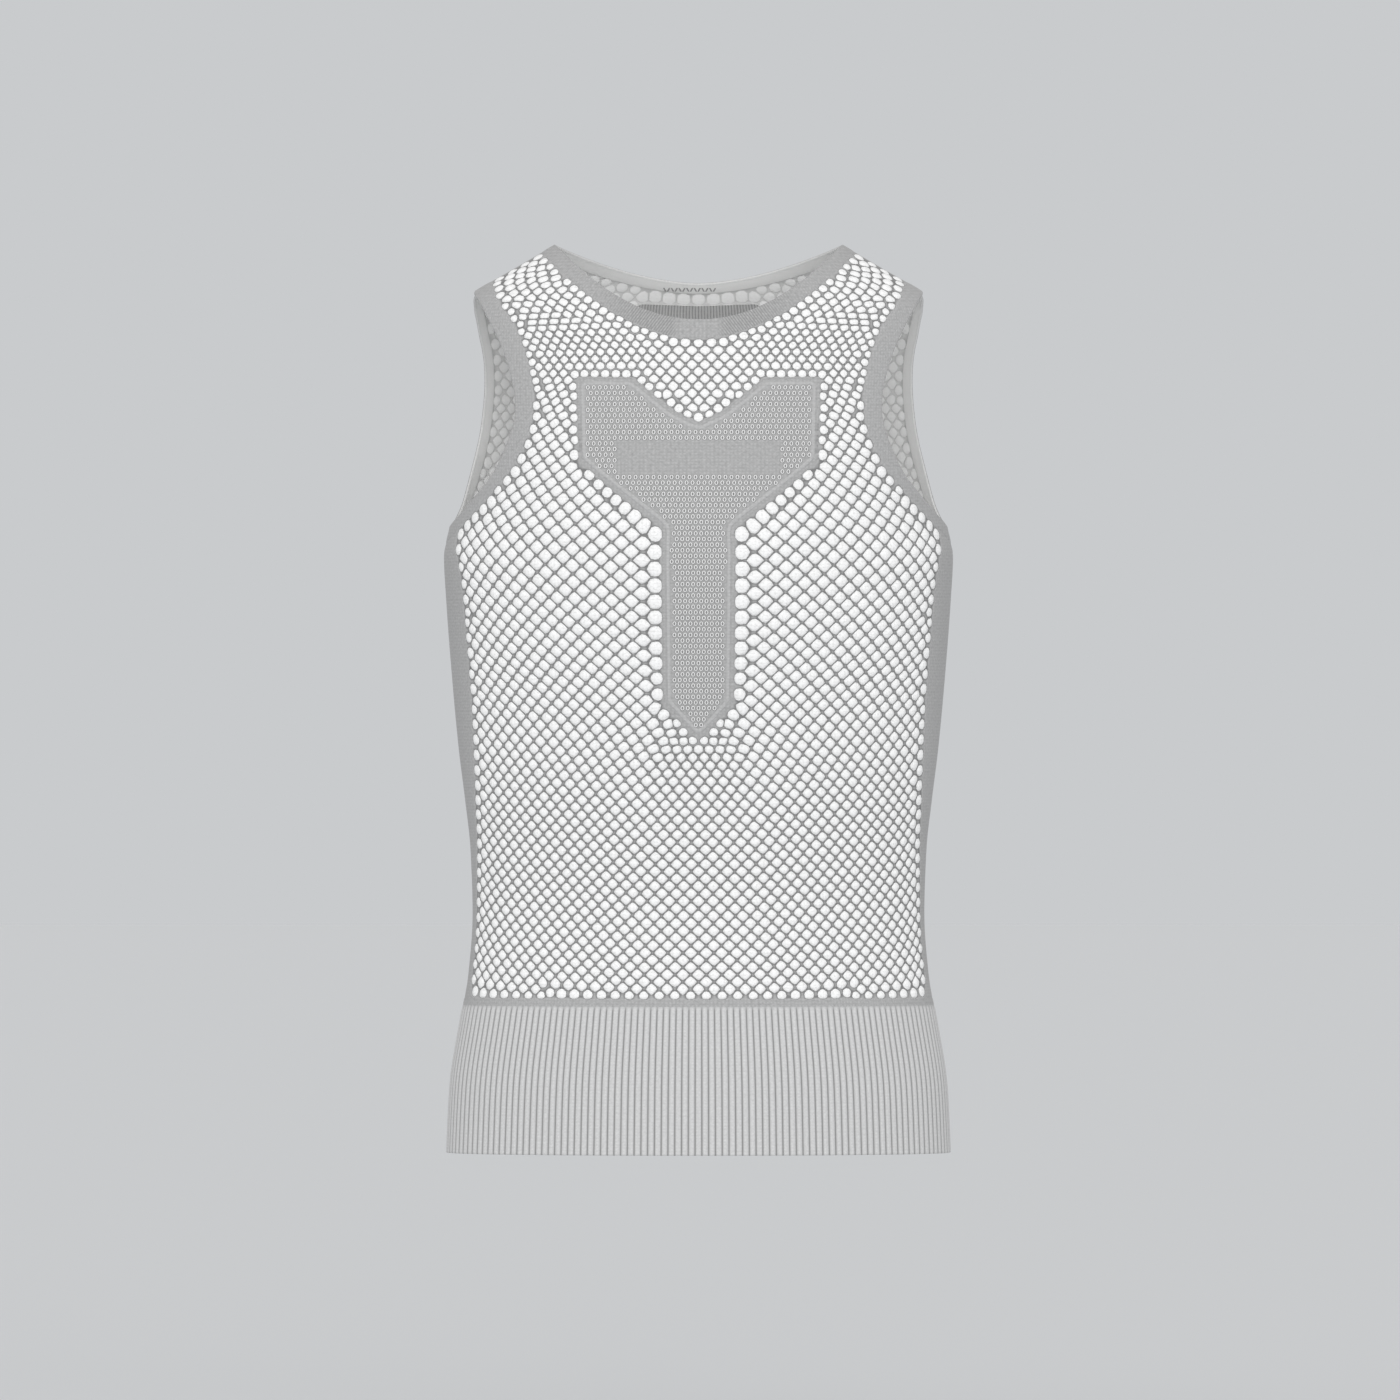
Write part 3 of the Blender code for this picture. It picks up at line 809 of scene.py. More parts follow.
@dataclass
class NetPanel:
    """A net of grey strands with soft white ground puffed up in each of its cells.

    Each cell fills the space between its neighbours, and the cells beside an edge shift until they
    stand evenly along it.
    """

    name: str
    node: str
    side: Side
    lattice: Lattice
    inset: np.ndarray              # left half of the panel set into its middle, from the top down
    seam: np.ndarray               # its neck seam, from the centre to the shoulder
    arm: np.ndarray                # its armhole seam, from the shoulder down
    cut: tuple                     # the width and length that the cloth was cut to, in metres
    cut_area: float
    ring: int = 12                 # points round a cell
    # the cells, in millimetres unless it says otherwise
    stretched: tuple = (6.2, 7.4, 8.4)         # from a small, a usual and a stretched cell to the next
    hole: tuple = (0.81, 0.95, 0.955)          # share of the way to the next that each of them takes
    flatness: tuple = (0.12, 0.2, 0.04)        # how much lower than wide each of them is
    roundness: float = 5.0         # lower is rounder
    most: tuple = (0.76, 0.4)      # share of the spacing that it reaches at most, inside and by an edge
    stretch_limits: tuple = (0.55, 1.45)       # no cell counts as more squashed or stretched than this
    # the cells beside an edge
    beside_edge: tuple = (5.0, 9.0)            # this holds within the first and fades out to the second
    border_hole: float = 0.985
    border_flatness: float = 0.3   # share of its flatness that a cell keeps
    border_roundness: float = 4.2
    square_edge: tuple = (9.0, 15.0)           # in the same way, where a cell ignores its stretch
    square_least: float = 0.35     # share of its stretch that every cell ignores
    margin: float = 0.35           # least width of the plain edge
    least_room: float = 0.3        # room that a cell has on its edge side at least
    least_gap: float = 1.5         # a cell whose centre is nearer an edge is left out
    least_reach: tuple = (0.9, 1.5)            # so is one whose least or mean reach is smaller
    look_far: tuple = (25.0, 40.0) # an edge past the first counts as lying at the second
    settle_edge: tuple = (4.5, 9.0)            # in the same way, where cells shift
    settle_rounds: int = 6
    settle_share: float = 0.7      # of the way to the middle of its space, in each round
    settle_limit: float = 2.4      # the furthest a cell shifts
    shoulder_angle: float = 84.5   # the plain strip along the shoulder starts at this many degrees
    # the strands
    strand_lift: float = 0.75
    strand_edge: float = 0.2
    # below 1, so that a strand's ridge keeps a little of the painted groove shade
    strand_fullness: float = 0.55
    plain_lift: float = 0.8
    plain_paleness: float = 0.5
    inner_lift: float = -0.2       # buried in the ground
    strand_span: float = 12.0      # cells further apart than this have no strand between them
    knot_reach: float = 8.0        # a knot further from its cells than this is left out
    knot_least: float = 4.0        # so is one between cells that stand almost in line
    ridge_grid: tuple = (1.6, 0.7) # one point of a ridge stands in each box of this grid at most
    ridge_clear: tuple = (0.12, 0.7)           # least distance from it to a hole and to an edge
    # the pillows of the ground
    whole: float = 0.97            # share of the way to its neighbours that the cloth of a pillow has
    whole_margin: float = 0.25
    whole_most: float = 0.8
    tuck: tuple = (0.1, 1.1)       # how far it runs on under the strands, at least and at most
    crown: float = 1.55            # how far a pillow stands out of the form
    shoulder: float = 1.2
    rim_lift: float = -0.05
    lining_lift: float = -0.35
    belly: float = -1.1            # how far it bulges inward
    slope: float = 0.64            # share of its reach at which its slope starts
    slope_evenness: float = 0.4    # 1 makes the line it starts on a circle
    # painted shade: the rim of a pillow is darkened up to its slope, and rim_paleness lets a little of it
    # show on the inner face
    slope_fullness: float = 0.7
    rim_paleness: float = 0.8
    full_reach: float = 4.2        # mean reach of a pillow that stands out fully
    least_swell: float = 0.45      # share of it that the smallest pillow stands out
    outlines: list = field(init=False)         # its outline, and the hole for what is set into it
    netted: list = field(init=False)           # the part of it that cells may fill
    ways: np.ndarray = field(init=False)       # the directions round a cell

    def __post_init__(self) -> None:
        """Close the outline and the hole in it."""
        strip = LINES.strip_edge()
        shoulder = respaced(np.array([self.seam[-1], [90.0, LINES.armhole_seam[0][1]]]), LINES.spacing)
        foot = respaced(np.array([strip[-1], [0.0, LINES.border_top]]), LINES.spacing)
        self.outlines = [mirrored_loop(joined([self.seam, shoulder, self.arm, strip, foot])),
                         mirrored_loop(self.inset)]
        limit = np.array([self.shoulder_angle, np.inf])
        self.netted = [np.clip(loop, -limit, limit) for loop in self.outlines]
        self.ways = circle(self.ring)

    def _turned(self, points: np.ndarray) -> np.ndarray:
        """Turn pattern points of this side to those of the whole body."""
        return points if self.side is Side.FRONT else turned(points)

    def _frames(self, points: np.ndarray) -> tuple[np.ndarray, np.ndarray, np.ndarray]:
        """Find the flat plane that touches the form at each point.

        Args:
            points: Rows of angle and height.

        Returns:
            The points in space, two square directions of each plane, and the matrices that turn a step
            in a plane, in millimetres, into a step of angle and height.
        """
        laid = self._turned(points)
        around, upward = FORM.slopes(laid)
        around = around if self.side is Side.FRONT else -around
        across = around / np.linalg.norm(around, axis=1, keepdims=True)
        out = np.cross(around, upward)
        rising = np.cross(out / np.linalg.norm(out, axis=1, keepdims=True), across)
        plane = np.stack([across, rising], axis=1)
        runs = np.stack([around, upward], axis=2)
        return FORM.surface(laid), plane, np.linalg.inv(plane @ runs)

    @staticmethod
    def _neighbours(places: np.ndarray, planes: np.ndarray, chosen: np.ndarray,
                    count: int = 9) -> np.ndarray:
        """Find the steps from the chosen cells to their nearest cells, each in its own plane."""
        steps = []
        for part in (chosen[batch] for batch in batches(len(chosen))):
            away = np.linalg.norm(places[part, None] - places[None], axis=2)
            near = np.argpartition(away, count, axis=1)[:, :count + 1]
            away = np.take_along_axis(away, near, axis=1)
            near = np.take_along_axis(near, np.argsort(away, axis=1), axis=1)[:, 1:]
            steps.append(np.einsum("nij,nkj->nki", planes[part], places[near] - places[part, None]))
        return np.concatenate(steps)

    def _to_edge(self, places: np.ndarray, planes: np.ndarray) -> np.ndarray:
        """Measure how far each cell is from an edge of the panel, in each way round it."""
        near_by, far_off = self.look_far
        found = np.full((len(places), self.ring), far_off)
        for loop in self.netted:
            start = FORM.surface(self._turned(loop))
            for part in batches(len(places)):
                gap = start[None] - places[part, None]
                a = np.einsum("nij,nkj->nki", planes[part], gap)
                run = np.roll(a, -1, axis=1) - a
                near = (np.linalg.norm(gap, axis=2) < near_by)[..., None]
                across = self.ways[:, 0] * run[..., 1:] - self.ways[:, 1] * run[..., :1]
                across = np.where(np.abs(across) < 1e-9, 1e-9, across)
                far = (a[..., :1] * run[..., 1:] - a[..., 1:] * run[..., :1]) / across
                share = (a[..., :1] * self.ways[:, 1] - a[..., 1:] * self.ways[:, 0]) / across
                # each run counts as a hair longer, so that no way slips out between two of them
                met = near & (far > 0) & (share >= -0.01) & (share <= 1.01)
                found[part] = np.minimum(found[part], np.where(met, far, far_off).min(axis=1))
        return found

    @staticmethod
    def _beside(edge: np.ndarray, limits: tuple[float, float]) -> np.ndarray:
        """Tell how much each cell is beside an edge: 1 within the first limit and 0 past the second."""
        return np.clip((limits[1] - edge.min(axis=1)) / (limits[1] - limits[0]), 0.0, 1.0)

    def _shapes(self, steps: np.ndarray, ignored: np.ndarray) -> np.ndarray:
        """Find the stretch that makes a square of each cell's four nearest neighbours.

        Args:
            steps: Steps to its neighbours, the nearest first.
            ignored: From 0 to 1, how much of the stretch is left out.

        Returns:
            A matrix for each cell.
        """
        spread = np.einsum("nki,nkj->nij", steps[:, :4], steps[:, :4])
        spread /= np.trace(spread, axis1=1, axis2=2)[:, None, None] / 2
        spread += (np.eye(2) - spread) * ignored[:, None, None]
        sizes, axes = np.linalg.eigh(spread)
        sizes = np.clip(sizes, *self.stretch_limits) ** -0.5
        sizes /= np.sqrt(sizes.prod(axis=1, keepdims=True))
        return np.einsum("nij,nj,nkj->nik", axes, sizes, axes)

    def _reach(self, steps: np.ndarray, edge: np.ndarray, hole: np.ndarray, margin: float,
               power: np.ndarray, most: np.ndarray, shape: np.ndarray) -> np.ndarray:
        """Measure how far each cell reaches in each way round it, with its corners rounded off.

        Args:
            steps: Steps to its neighbours.
            edge: How far the panel's edge is in each way.
            hole: How much of the way to the middle between two cells is open.
            margin: Width left at the edge.
            power: The lower, the rounder.
            most: The furthest reach, as a share of the step to its nearest neighbours.
            shape: The stretch that makes a square of its neighbours.

        Returns:
            An array of cells and ways.
        """
        length = np.linalg.norm(steps, axis=2)
        square = np.einsum("nij,nkj->nki", shape, steps)
        along = np.einsum("nki,nij,mj->nkm", square, shape, self.ways)
        reach = ((square ** 2).sum(axis=2) / 2 * hole[:, None])[..., None] / np.maximum(along, 1e-6)
        power = power[:, None]
        crowd = (np.minimum(reach, FAR_OFF) ** -power[..., None]).sum(axis=1)
        crowd += np.maximum(edge - margin, self.least_room) ** -power
        return np.minimum(crowd ** (-1 / power), length[:, :2].mean(axis=1, keepdims=True) * most[:, None])

    def _settle(self, cells: np.ndarray, near: np.ndarray) -> None:
        """Shift the cells beside an edge to the middle of the space they have.

        Args:
            cells: Centres of all the cells, which are changed.
            near: Numbers of those that may shift.
        """
        shift = np.zeros((len(near), 2))
        start = cells[near].copy()
        one = np.ones(len(near))
        for _ in range(self.settle_rounds):
            places, planes, back = self._frames(cells)
            steps = self._neighbours(places, planes, near)
            edge = self._to_edge(places[near], planes[near])
            tips = self._reach(steps, edge, one, 0.0, SHARP * one, one, self._shapes(steps, one))
            tips = tips[..., None] * self.ways
            after = np.roll(tips, -1, axis=1)
            area = tips[..., 0] * after[..., 1] - tips[..., 1] * after[..., 0]
            middle = (area[..., None] * (tips + after) / 3).sum(axis=1) / area.sum(axis=1)[:, None]
            shift += middle * self.settle_share * self._beside(edge, self.settle_edge)[:, None]
            far = np.linalg.norm(shift, axis=1, keepdims=True)
            shift *= np.minimum(1.0, self.settle_limit / np.maximum(far, 1e-6))
            moves = np.einsum("nij,nj->ni", back[near], shift)
            moves[start[:, 0] == 0.0, 0] = 0.0
            cells[near] = start + moves

    def _settled(self) -> tuple[np.ndarray, np.ndarray, np.ndarray, np.ndarray]:
        """Choose the cells, settle them and measure them.

        Returns:
            Their centres, as rows of angle and height, how far each hole reaches in each way, how far
            its ground runs on under the strands, and the stretch that makes a square of its neighbours.
        """
        cells = self.lattice.centres()
        gap = distances(cells, self.netted, FORM.stretch(self._turned(cells)))
        inside = within(cells, self.netted) & (gap > self.least_gap)
        cells, gap = cells[inside], gap[inside]
        near = np.flatnonzero(gap < 2 * self.settle_edge[1])
        self._settle(cells, near)
        places, planes, _ = self._frames(cells)
        steps = self._neighbours(places, planes, np.arange(len(cells)))
        edge = np.full((len(cells), self.ring), self.look_far[1])
        edge[near] = self._to_edge(places[near], planes[near])
        shape = self._shapes(steps, np.maximum(self._beside(edge, self.square_edge), self.square_least))
        beside = self._beside(edge, self.beside_edge)
        spacing = np.linalg.norm(steps, axis=2)[:, :4].mean(axis=1)
        hole = np.interp(spacing, self.stretched, self.hole)
        hole += (self.border_hole - hole) * beside
        power = self.roundness + (self.border_roundness - self.roundness) * beside
        most = self.most[0] + (self.most[1] - self.most[0]) * beside
        reach = self._reach(steps, edge, hole, self.margin, power, most, shape)
        flatness = np.interp(spacing, self.stretched, self.flatness)
        flatness *= 1 - beside * (1 - self.border_flatness)
        reach *= 1 - flatness[:, None] * self.ways[:, 1] ** 4
        one = np.ones(len(cells))
        whole = self._reach(steps, edge, self.whole * one, self.whole_margin, SHARP * one,
                            self.whole_most * one, shape)
        rim = np.clip(whole, reach + self.tuck[0], reach + self.tuck[1])
        least, mean = self.least_reach
        kept = (reach.min(axis=1) > least) & (reach.mean(axis=1) > mean)
        return cells[kept], reach[kept], rim[kept], shape[kept]

    def _loops(self, cells: np.ndarray, reach: np.ndarray) -> np.ndarray:
        """Draw a loop round each cell.

        Args:
            cells: Centres of the cells.
            reach: How far the loop reaches in each way, in millimetres.

        Returns:
            An array of cells, points and (angle, height).
        """
        back = self._frames(cells)[2]
        return cells[:, None] + np.einsum("nij,nmj->nmi", back, reach[..., None] * self.ways)

    def build(self, strand: bpy.types.Material, ground: bpy.types.Material) -> None:
        """Make the net and its ground.

        Args:
            strand: The finish of the net.
            ground: The finish of the pillows.
        """
        cells, reach, rim, shape = self._settled()
        log.info("%s: %d cells", self.name, len(cells))
        net = dress(self._net(cells, reach, shape), strand, self.node)
        pillows = dress(self._ground(cells, reach, rim), ground, self.node)

    def _ridge(self, cells: np.ndarray, reach: np.ndarray, shape: np.ndarray) -> np.ndarray:
        """List points along the middles of the strands, clear of every hole and edge."""
        faces = triangles(cells, [])[1]
        pairs = np.unique(np.sort(np.concatenate([faces[:, [0, 1]], faces[:, [1, 2]], faces[:, [2, 0]]]),
                                  axis=1), axis=0)
        places, planes, back = self._frames(cells)
        span = np.linalg.norm(places[pairs[:, 0]] - places[pairs[:, 1]], axis=1)
        middles = cells[pairs[span < self.strand_span]].mean(axis=1)
        # the knots stand at the same distance from three cells, once these are stretched to a square
        first = faces[:, 0]
        square = shape[first] @ planes[first]
        b, c = (np.einsum("nij,nj->ni", square, places[faces[:, k]] - places[first]) for k in (1, 2))
        twice = 2 * (b[:, 0] * c[:, 1] - b[:, 1] * c[:, 0])
        bb, cc = (b ** 2).sum(axis=1), (c ** 2).sum(axis=1)
        knots = np.stack([(c[:, 1] * bb - b[:, 1] * cc), (b[:, 0] * cc - c[:, 0] * bb)], axis=1)
        knots /= np.where(np.abs(twice) < 1e-6, 1e-6, twice)[:, None]
        knots = np.einsum("nij,nj->ni", np.linalg.inv(shape[first]), knots)
        fine = (np.linalg.norm(knots, axis=1) < self.knot_reach) & (np.abs(twice) > self.knot_least)
        knots = cells[first[fine]] + np.einsum("nij,nj->ni", back[first[fine]], knots[fine])
        ridge = np.concatenate([knots, middles])
        spots = np.round(ridge * np.array(self.ridge_grid) + OFF_GRID)
        ridge = ridge[np.unique(spots, axis=0, return_index=True)[1]]
        ridge = ridge[within(ridge, self.outlines)]
        clear = distances(ridge, self.outlines, FORM.stretch(self._turned(ridge)))
        ridge = ridge[clear > self.ridge_clear[1]]
        return ridge[self._outside(ridge, places, planes, reach)]

    def _outside(self, points: np.ndarray, places: np.ndarray, planes: np.ndarray,
                 reach: np.ndarray) -> np.ndarray:
        """Tell which points lie clear of every hole."""
        spots = FORM.surface(self._turned(points))
        clear = np.ones(len(points), dtype=bool)
        for part in batches(len(points)):
            away = np.linalg.norm(spots[part, None] - places[None], axis=2)
            near = np.argpartition(away, 4, axis=1)[:, :4]
            step = np.einsum("nkij,nkj->nki", planes[near], spots[part, None] - places[near])
            turn = (np.arctan2(step[..., 1], step[..., 0]) % math.tau) / math.tau * self.ring
            ways = (turn.astype(int)[..., None] + np.array([0, 1])) % self.ring
            size = np.take_along_axis(reach[near], ways, axis=2).max(axis=2)
            clear[part] = (np.linalg.norm(step, axis=2) > size + self.ridge_clear[0]).all(axis=1)
        return clear

    def _net(self, cells: np.ndarray, reach: np.ndarray, shape: np.ndarray) -> bpy.types.Object:
        """Knit the strands between the holes, and the plain edge outside them."""
        ridge = self._ridge(cells, reach, shape)
        points, faces, source = triangles(ridge, [*self.outlines, *self._loops(cells, reach)])
        edge_end = sum(len(loop) for loop in self.outlines)
        hole_end = edge_end + len(cells) * self.ring
        owner = np.full(hole_end + len(ridge), -1)
        owner[edge_end:hole_end] = np.repeat(np.arange(len(cells)), self.ring)
        marks = np.where(source >= 0, owner[source], -1)[faces]
        in_hole = (marks[:, 0] >= 0) & (marks == marks[:, :1]).all(axis=1)
        faces = between(faces[~in_hole], points, self.outlines)
        plain = source < edge_end
        beside_hole = ~plain & (source < hole_end)
        lifts = np.select([plain, beside_hole], [self.plain_lift, self.strand_edge], self.strand_lift)
        inside = np.where(plain, -self.plain_lift, self.inner_lift)
        # painted shade: the strands are darkest beside the holes, lighter on their ridges and plain on the
        # edge
        full = np.select([plain, beside_hole], [1.0, 0.0], self.strand_fullness)
        return ClothWall(self.name + "_net", points, faces.tolist(), lifts, inside, self.side, full,
                         paleness=np.where(plain, self.plain_paleness, 1.0)).build()

    def _ground(self, cells: np.ndarray, reach: np.ndarray, rim: np.ndarray) -> bpy.types.Object:
        """Puff the ground up in each cell, with its rim tucked under the strands."""
        even = reach.mean(axis=1, keepdims=True)
        slope = reach * (1 - self.slope_evenness) + even * self.slope_evenness
        stack = np.concatenate([self._loops(cells, rim), self._loops(cells, slope * self.slope),
                                cells[:, None]], axis=1)
        swell = np.clip(even / self.full_reach, self.least_swell, 1.0)
        outer = np.concatenate([np.full(reach.shape, self.rim_lift),
                                np.repeat(self.shoulder * swell, self.ring, axis=1),
                                self.crown * swell], axis=1)
        layers = [self.ring, self.ring, 1]     # points of the rim, of the slope and of the crown
        inside = np.repeat([self.lining_lift, self.lining_lift, self.belly], layers)
        # painted shade darkens each pillow towards its rim, on the outer face and, by rim_paleness, a
        # little on the inner face
        full = np.repeat([0.0, self.slope_fullness, 1.0], layers)
        pale = np.repeat([self.rim_paleness, 1.0, 1.0], layers)
        size, count = stack.shape[1], len(cells)
        lining = [(i, (i + 1) % self.ring, size - 1) for i in range(self.ring)]
        return ClothWall(self.name + "_ground", stack.reshape(-1, 2),
                         repeated(dome_faces(2, self.ring), size, count), outer.ravel(),
                         np.tile(inside, count), self.side, np.tile(full, count),
                         repeated(lining, size, count), np.tile(pale, count)).build()


# ---------------------------------------------------------------- plain pieces
def cut_piece(name: str, outline: np.ndarray, wall: float, spacing: float,
              flip: bool = False) -> bpy.types.Object:
    """Cut a plain piece of knit to an outline and lay it on the front of the form.

    Args:
        name: Name of the piece.
        outline: A closed loop.
        wall: Its thickness, in millimetres.
        spacing: Millimetres from one of its points to the next.
        flip: Whether to make its twin on the other half of the body.

    Returns:
        The piece.
    """
    points, faces, _ = triangles(filling(outline, spacing), [outline], 1e-5)
    faces = between(faces, points, [outline])
    if flip:
        points, outline = mirrored(points), mirrored(outline)
    away = distances(points, [outline], FORM.stretch(points))
    lifts = edge_profile(away, wall / 2, Edge.CUT)
    return ClothWall(name, points, faces.tolist(), lifts, -lifts).build()


@dataclass
class SidePanels:
    """The plain strips under the arms, down to the border."""

    wall: float = 1.6
    spacing: float = 5.0
    cut: tuple = (0.079, 0.338)    # the width and length that each was cut to, in metres
    cut_area: float = 0.0183

    def build(self, material: bpy.types.Material) -> None:
        """Make both strips."""
        front = LINES.strip_edge()
        back = turned(front)
        back[0] = LINES.armhole_seam[LINES.strip_back]
        under = LINES.armhole_part(LINES.strip_front, LINES.strip_back)
        foot = respaced(np.array([back[-1], front[-1]]), LINES.spacing)
        outline = joined([under, back, foot, front[::-1]])[:-1]
        for side, flip in (("left", False), ("right", True)):
            name = f"side_panel_{side}"
            piece = cut_piece(name + "_knit", outline, self.wall, self.spacing, flip)
            dress(piece, material, name)


@dataclass
class FoldedBand:
    """A band of knit folded over the edge of an opening."""

    wall: float = 2.2
    # its rows of points, as shares of the way from the seam to the fold
    shares: tuple = (0.0, 0.03, 0.15, 0.3, 0.45, 0.6, 0.75, 0.86, 0.93, 0.97, 0.99, 1.0)
    seam_half: float = 0.8         # half its thickness beside the seam
    seam_share: float = 0.85       # share of that in the seam itself
    swell: float = 4.0             # millimetres from the seam in which it reaches its full thickness
    fold: tuple = (0.6, 0.6)       # how pale its inside is at the very fold, in front and behind
    fold_blend: float = 0.2        # how slowly one turns to the other, under the arm
    fold_reach: float = 5.0        # millimetres from the fold in which it turns fully pale

    def band(self, name: str, seam: np.ndarray, edge: np.ndarray, closed: bool) -> ClothWall:
        """Run the band from its seam to its free edge.

        Args:
            name: Name of the piece.
            seam: Line of its seam, as rows of angle and height.
            edge: Line of its free edge, with as many points.
            closed: Whether the lines close on themselves.

        Returns:
            The wall.
        """
        shares = np.array(self.shares)[:, None, None]
        points = seam[None] * (1 - shares) + edge[None] * shares
        if closed:
            points = np.concatenate([points, points[:, :1]], axis=1)
        rows, columns = points.shape[:2]
        flat = points.reshape(-1, 2)
        scale = FORM.stretch(flat)
        from_seam, away = (np.linalg.norm((flat - np.tile(points[row], (rows, 1))) * scale, axis=1)
                           for row in (0, -1))
        swell = np.clip(from_seam / self.swell, 0.0, 1.0)
        half = self.seam_half + (self.wall / 2 - self.seam_half) * swell * swell * (3 - 2 * swell)
        lifts = half * edge_profile(away, self.wall / 2, Edge.FOLDED) / (self.wall / 2)
        lifts[:columns] *= self.seam_share
        behind = -np.cos(np.radians(flat[:, 0]))
        pale = np.interp(behind, (-self.fold_blend, self.fold_blend), self.fold) + away / self.fold_reach
        return grid_wall(name, points, lifts, -lifts, paleness=np.clip(pale, 0.0, 1.0))


@dataclass
class NeckBand(FoldedBand):
    """The folded band round the neck, wide in front and narrow behind."""

    cut: tuple = (0.594, 0.0126)
    fold: tuple = (0.1, 0.55)
    columns: tuple = (79, 70)      # points from the centre to the shoulder, in front and behind
    stitch_count: int = 14
    stitch_pitch: float = 2.8      # millimetres
    stitch_height: float = 630.2   # above the floor of the pattern
    stitch_offset: float = -6.5    # their middle, to the wearer's right of the centre
    stitch_size: tuple = (0.55, 1.25, 0.7)     # half its width and height, and its slant
    stitch_lifts: tuple = (0.15, -0.2)         # of its two skins from the inside of the band

    def build(self, material: bpy.types.Material, thread: bpy.types.Material) -> None:
        """Make the band, with a row of stitches on its inside behind the neck."""
        wall = self.band("neck_band_knit", self._round_neck("seam"), self._round_neck("edge"), False)
        piece = dress(wall.build(), material, "neck_band")
        stitches = dress(self._stitches(), thread, "neck_band")

    def _round_neck(self, kind: str) -> np.ndarray:
        """Follow the band's seam or edge from the centre front all the way round the neck."""
        halves = []
        for part, count in zip(("front", "back"), self.columns):
            line = LINES.neck_line(f"{part}_{kind}")
            marks = np.linspace(0.0, 1.0, count)
            own = np.linspace(0.0, 1.0, len(line))
            halves.append(np.stack([np.interp(marks, own, line[:, k]) for k in (0, 1)], axis=1))
        left = joined([halves[0], turned(halves[1][::-1])])
        return joined([left, mirrored(left[::-1]) + np.array([360.0, 0.0])])

    def _stitches(self) -> bpy.types.Object:
        """Set slanted stitches side by side, leaning left and right in turn."""
        wide, tall, slant = self.stitch_size
        corners = np.array([(-wide, -tall), (wide, -tall), (wide, tall), (-wide, tall)])
        points = []
        for number in range(self.stitch_count):
            lean = np.array([slant * (1 if number % 2 else -1), 0.0])
            place = self.stitch_offset + (number - (self.stitch_count - 1) / 2) * self.stitch_pitch
            middle = np.array([place, self.stitch_height])
            points.append(middle + corners + np.sign(corners[:, 1:]) * lean)
        flat = from_front(*np.concatenate(points).T)
        buried, proud = (np.full(len(flat), lift - self.wall / 2) for lift in self.stitch_lifts)
        faces = repeated([(0, 1, 2, 3)], 4, self.stitch_count)
        return ClothWall("neck_stitches", flat, faces, buried, proud, Side.BACK).build()


@dataclass
class ArmholeBands(FoldedBand):
    """The folded bands round the armholes."""

    cut: tuple = (0.493, 0.0125)
    columns: int = 220
    edge_spacing: float = 0.5      # millimetres between the places on the edge that a point may take
    evenness: int = 9              # neighbours on each side that a point's place is evened out with

    def build(self, material: bpy.types.Material) -> None:
        """Make both bands."""
        seam = LINES.armhole(LINES.armhole_seam)
        seam = respaced_loop(seam, self.real_length(seam) / self.columns)
        edge = self._opposite(seam, LINES.armhole(LINES.armhole_edge))
        for side, flip in (("left", 1.0), ("right", -1.0)):
            node = f"armhole_band_{side}"
            mirror = np.array([flip, 1.0])
            wall = self.band(node + "_knit", seam * mirror, edge * mirror, True)
            piece = dress(wall.build(), material, node)

    @staticmethod
    def real_length(loop: np.ndarray) -> float:
        """Measure a closed loop on the form, in millimetres."""
        runs = (np.roll(loop, -1, axis=0) - loop) * FORM.stretch(loop)
        return float(np.linalg.norm(runs, axis=1).sum())

    def _opposite(self, seam: np.ndarray, edge: np.ndarray) -> np.ndarray:
        """Pair each point of the seam with the nearest place on the edge, smoothly."""
        dense = respaced_loop(edge, self.edge_spacing)
        scale = FORM.stretch(seam)
        gaps = np.linalg.norm((seam[:, None] - dense[None]) * scale[:, None], axis=2)
        turn = np.unwrap(gaps.argmin(axis=1) / len(dense) * math.tau)
        expected = turn[0] + np.arange(len(seam)) / len(seam) * math.tau
        padded = np.pad(turn - expected, self.evenness, mode="wrap")
        window = 2 * self.evenness + 1
        drift = np.convolve(padded, np.ones(window) / window, mode="valid")
        marks = (expected + drift) / math.tau * len(dense)
        closed = np.concatenate([dense, dense[:1]])
        return np.stack([np.interp(marks % len(dense), np.arange(len(dense) + 1), closed[:, k])
                         for k in (0, 1)], axis=1)


def ring_points(heights: np.ndarray, columns: int) -> np.ndarray:
    """List the points of level rings round the whole body, evenly spaced along its real girth."""
    dense = np.linspace(0.0, 360.0, 1441)
    line = FORM.surface(np.stack([dense, np.full(len(dense), heights.mean())], axis=1))
    along = np.concatenate([[0.0], np.cumsum(np.linalg.norm(np.diff(line, axis=0), axis=1))])
    angles = np.interp(np.linspace(0.0, along[-1], columns + 1), along, dense)
    turn, level = np.meshgrid(angles, heights)
    return np.stack([turn, level], axis=2)


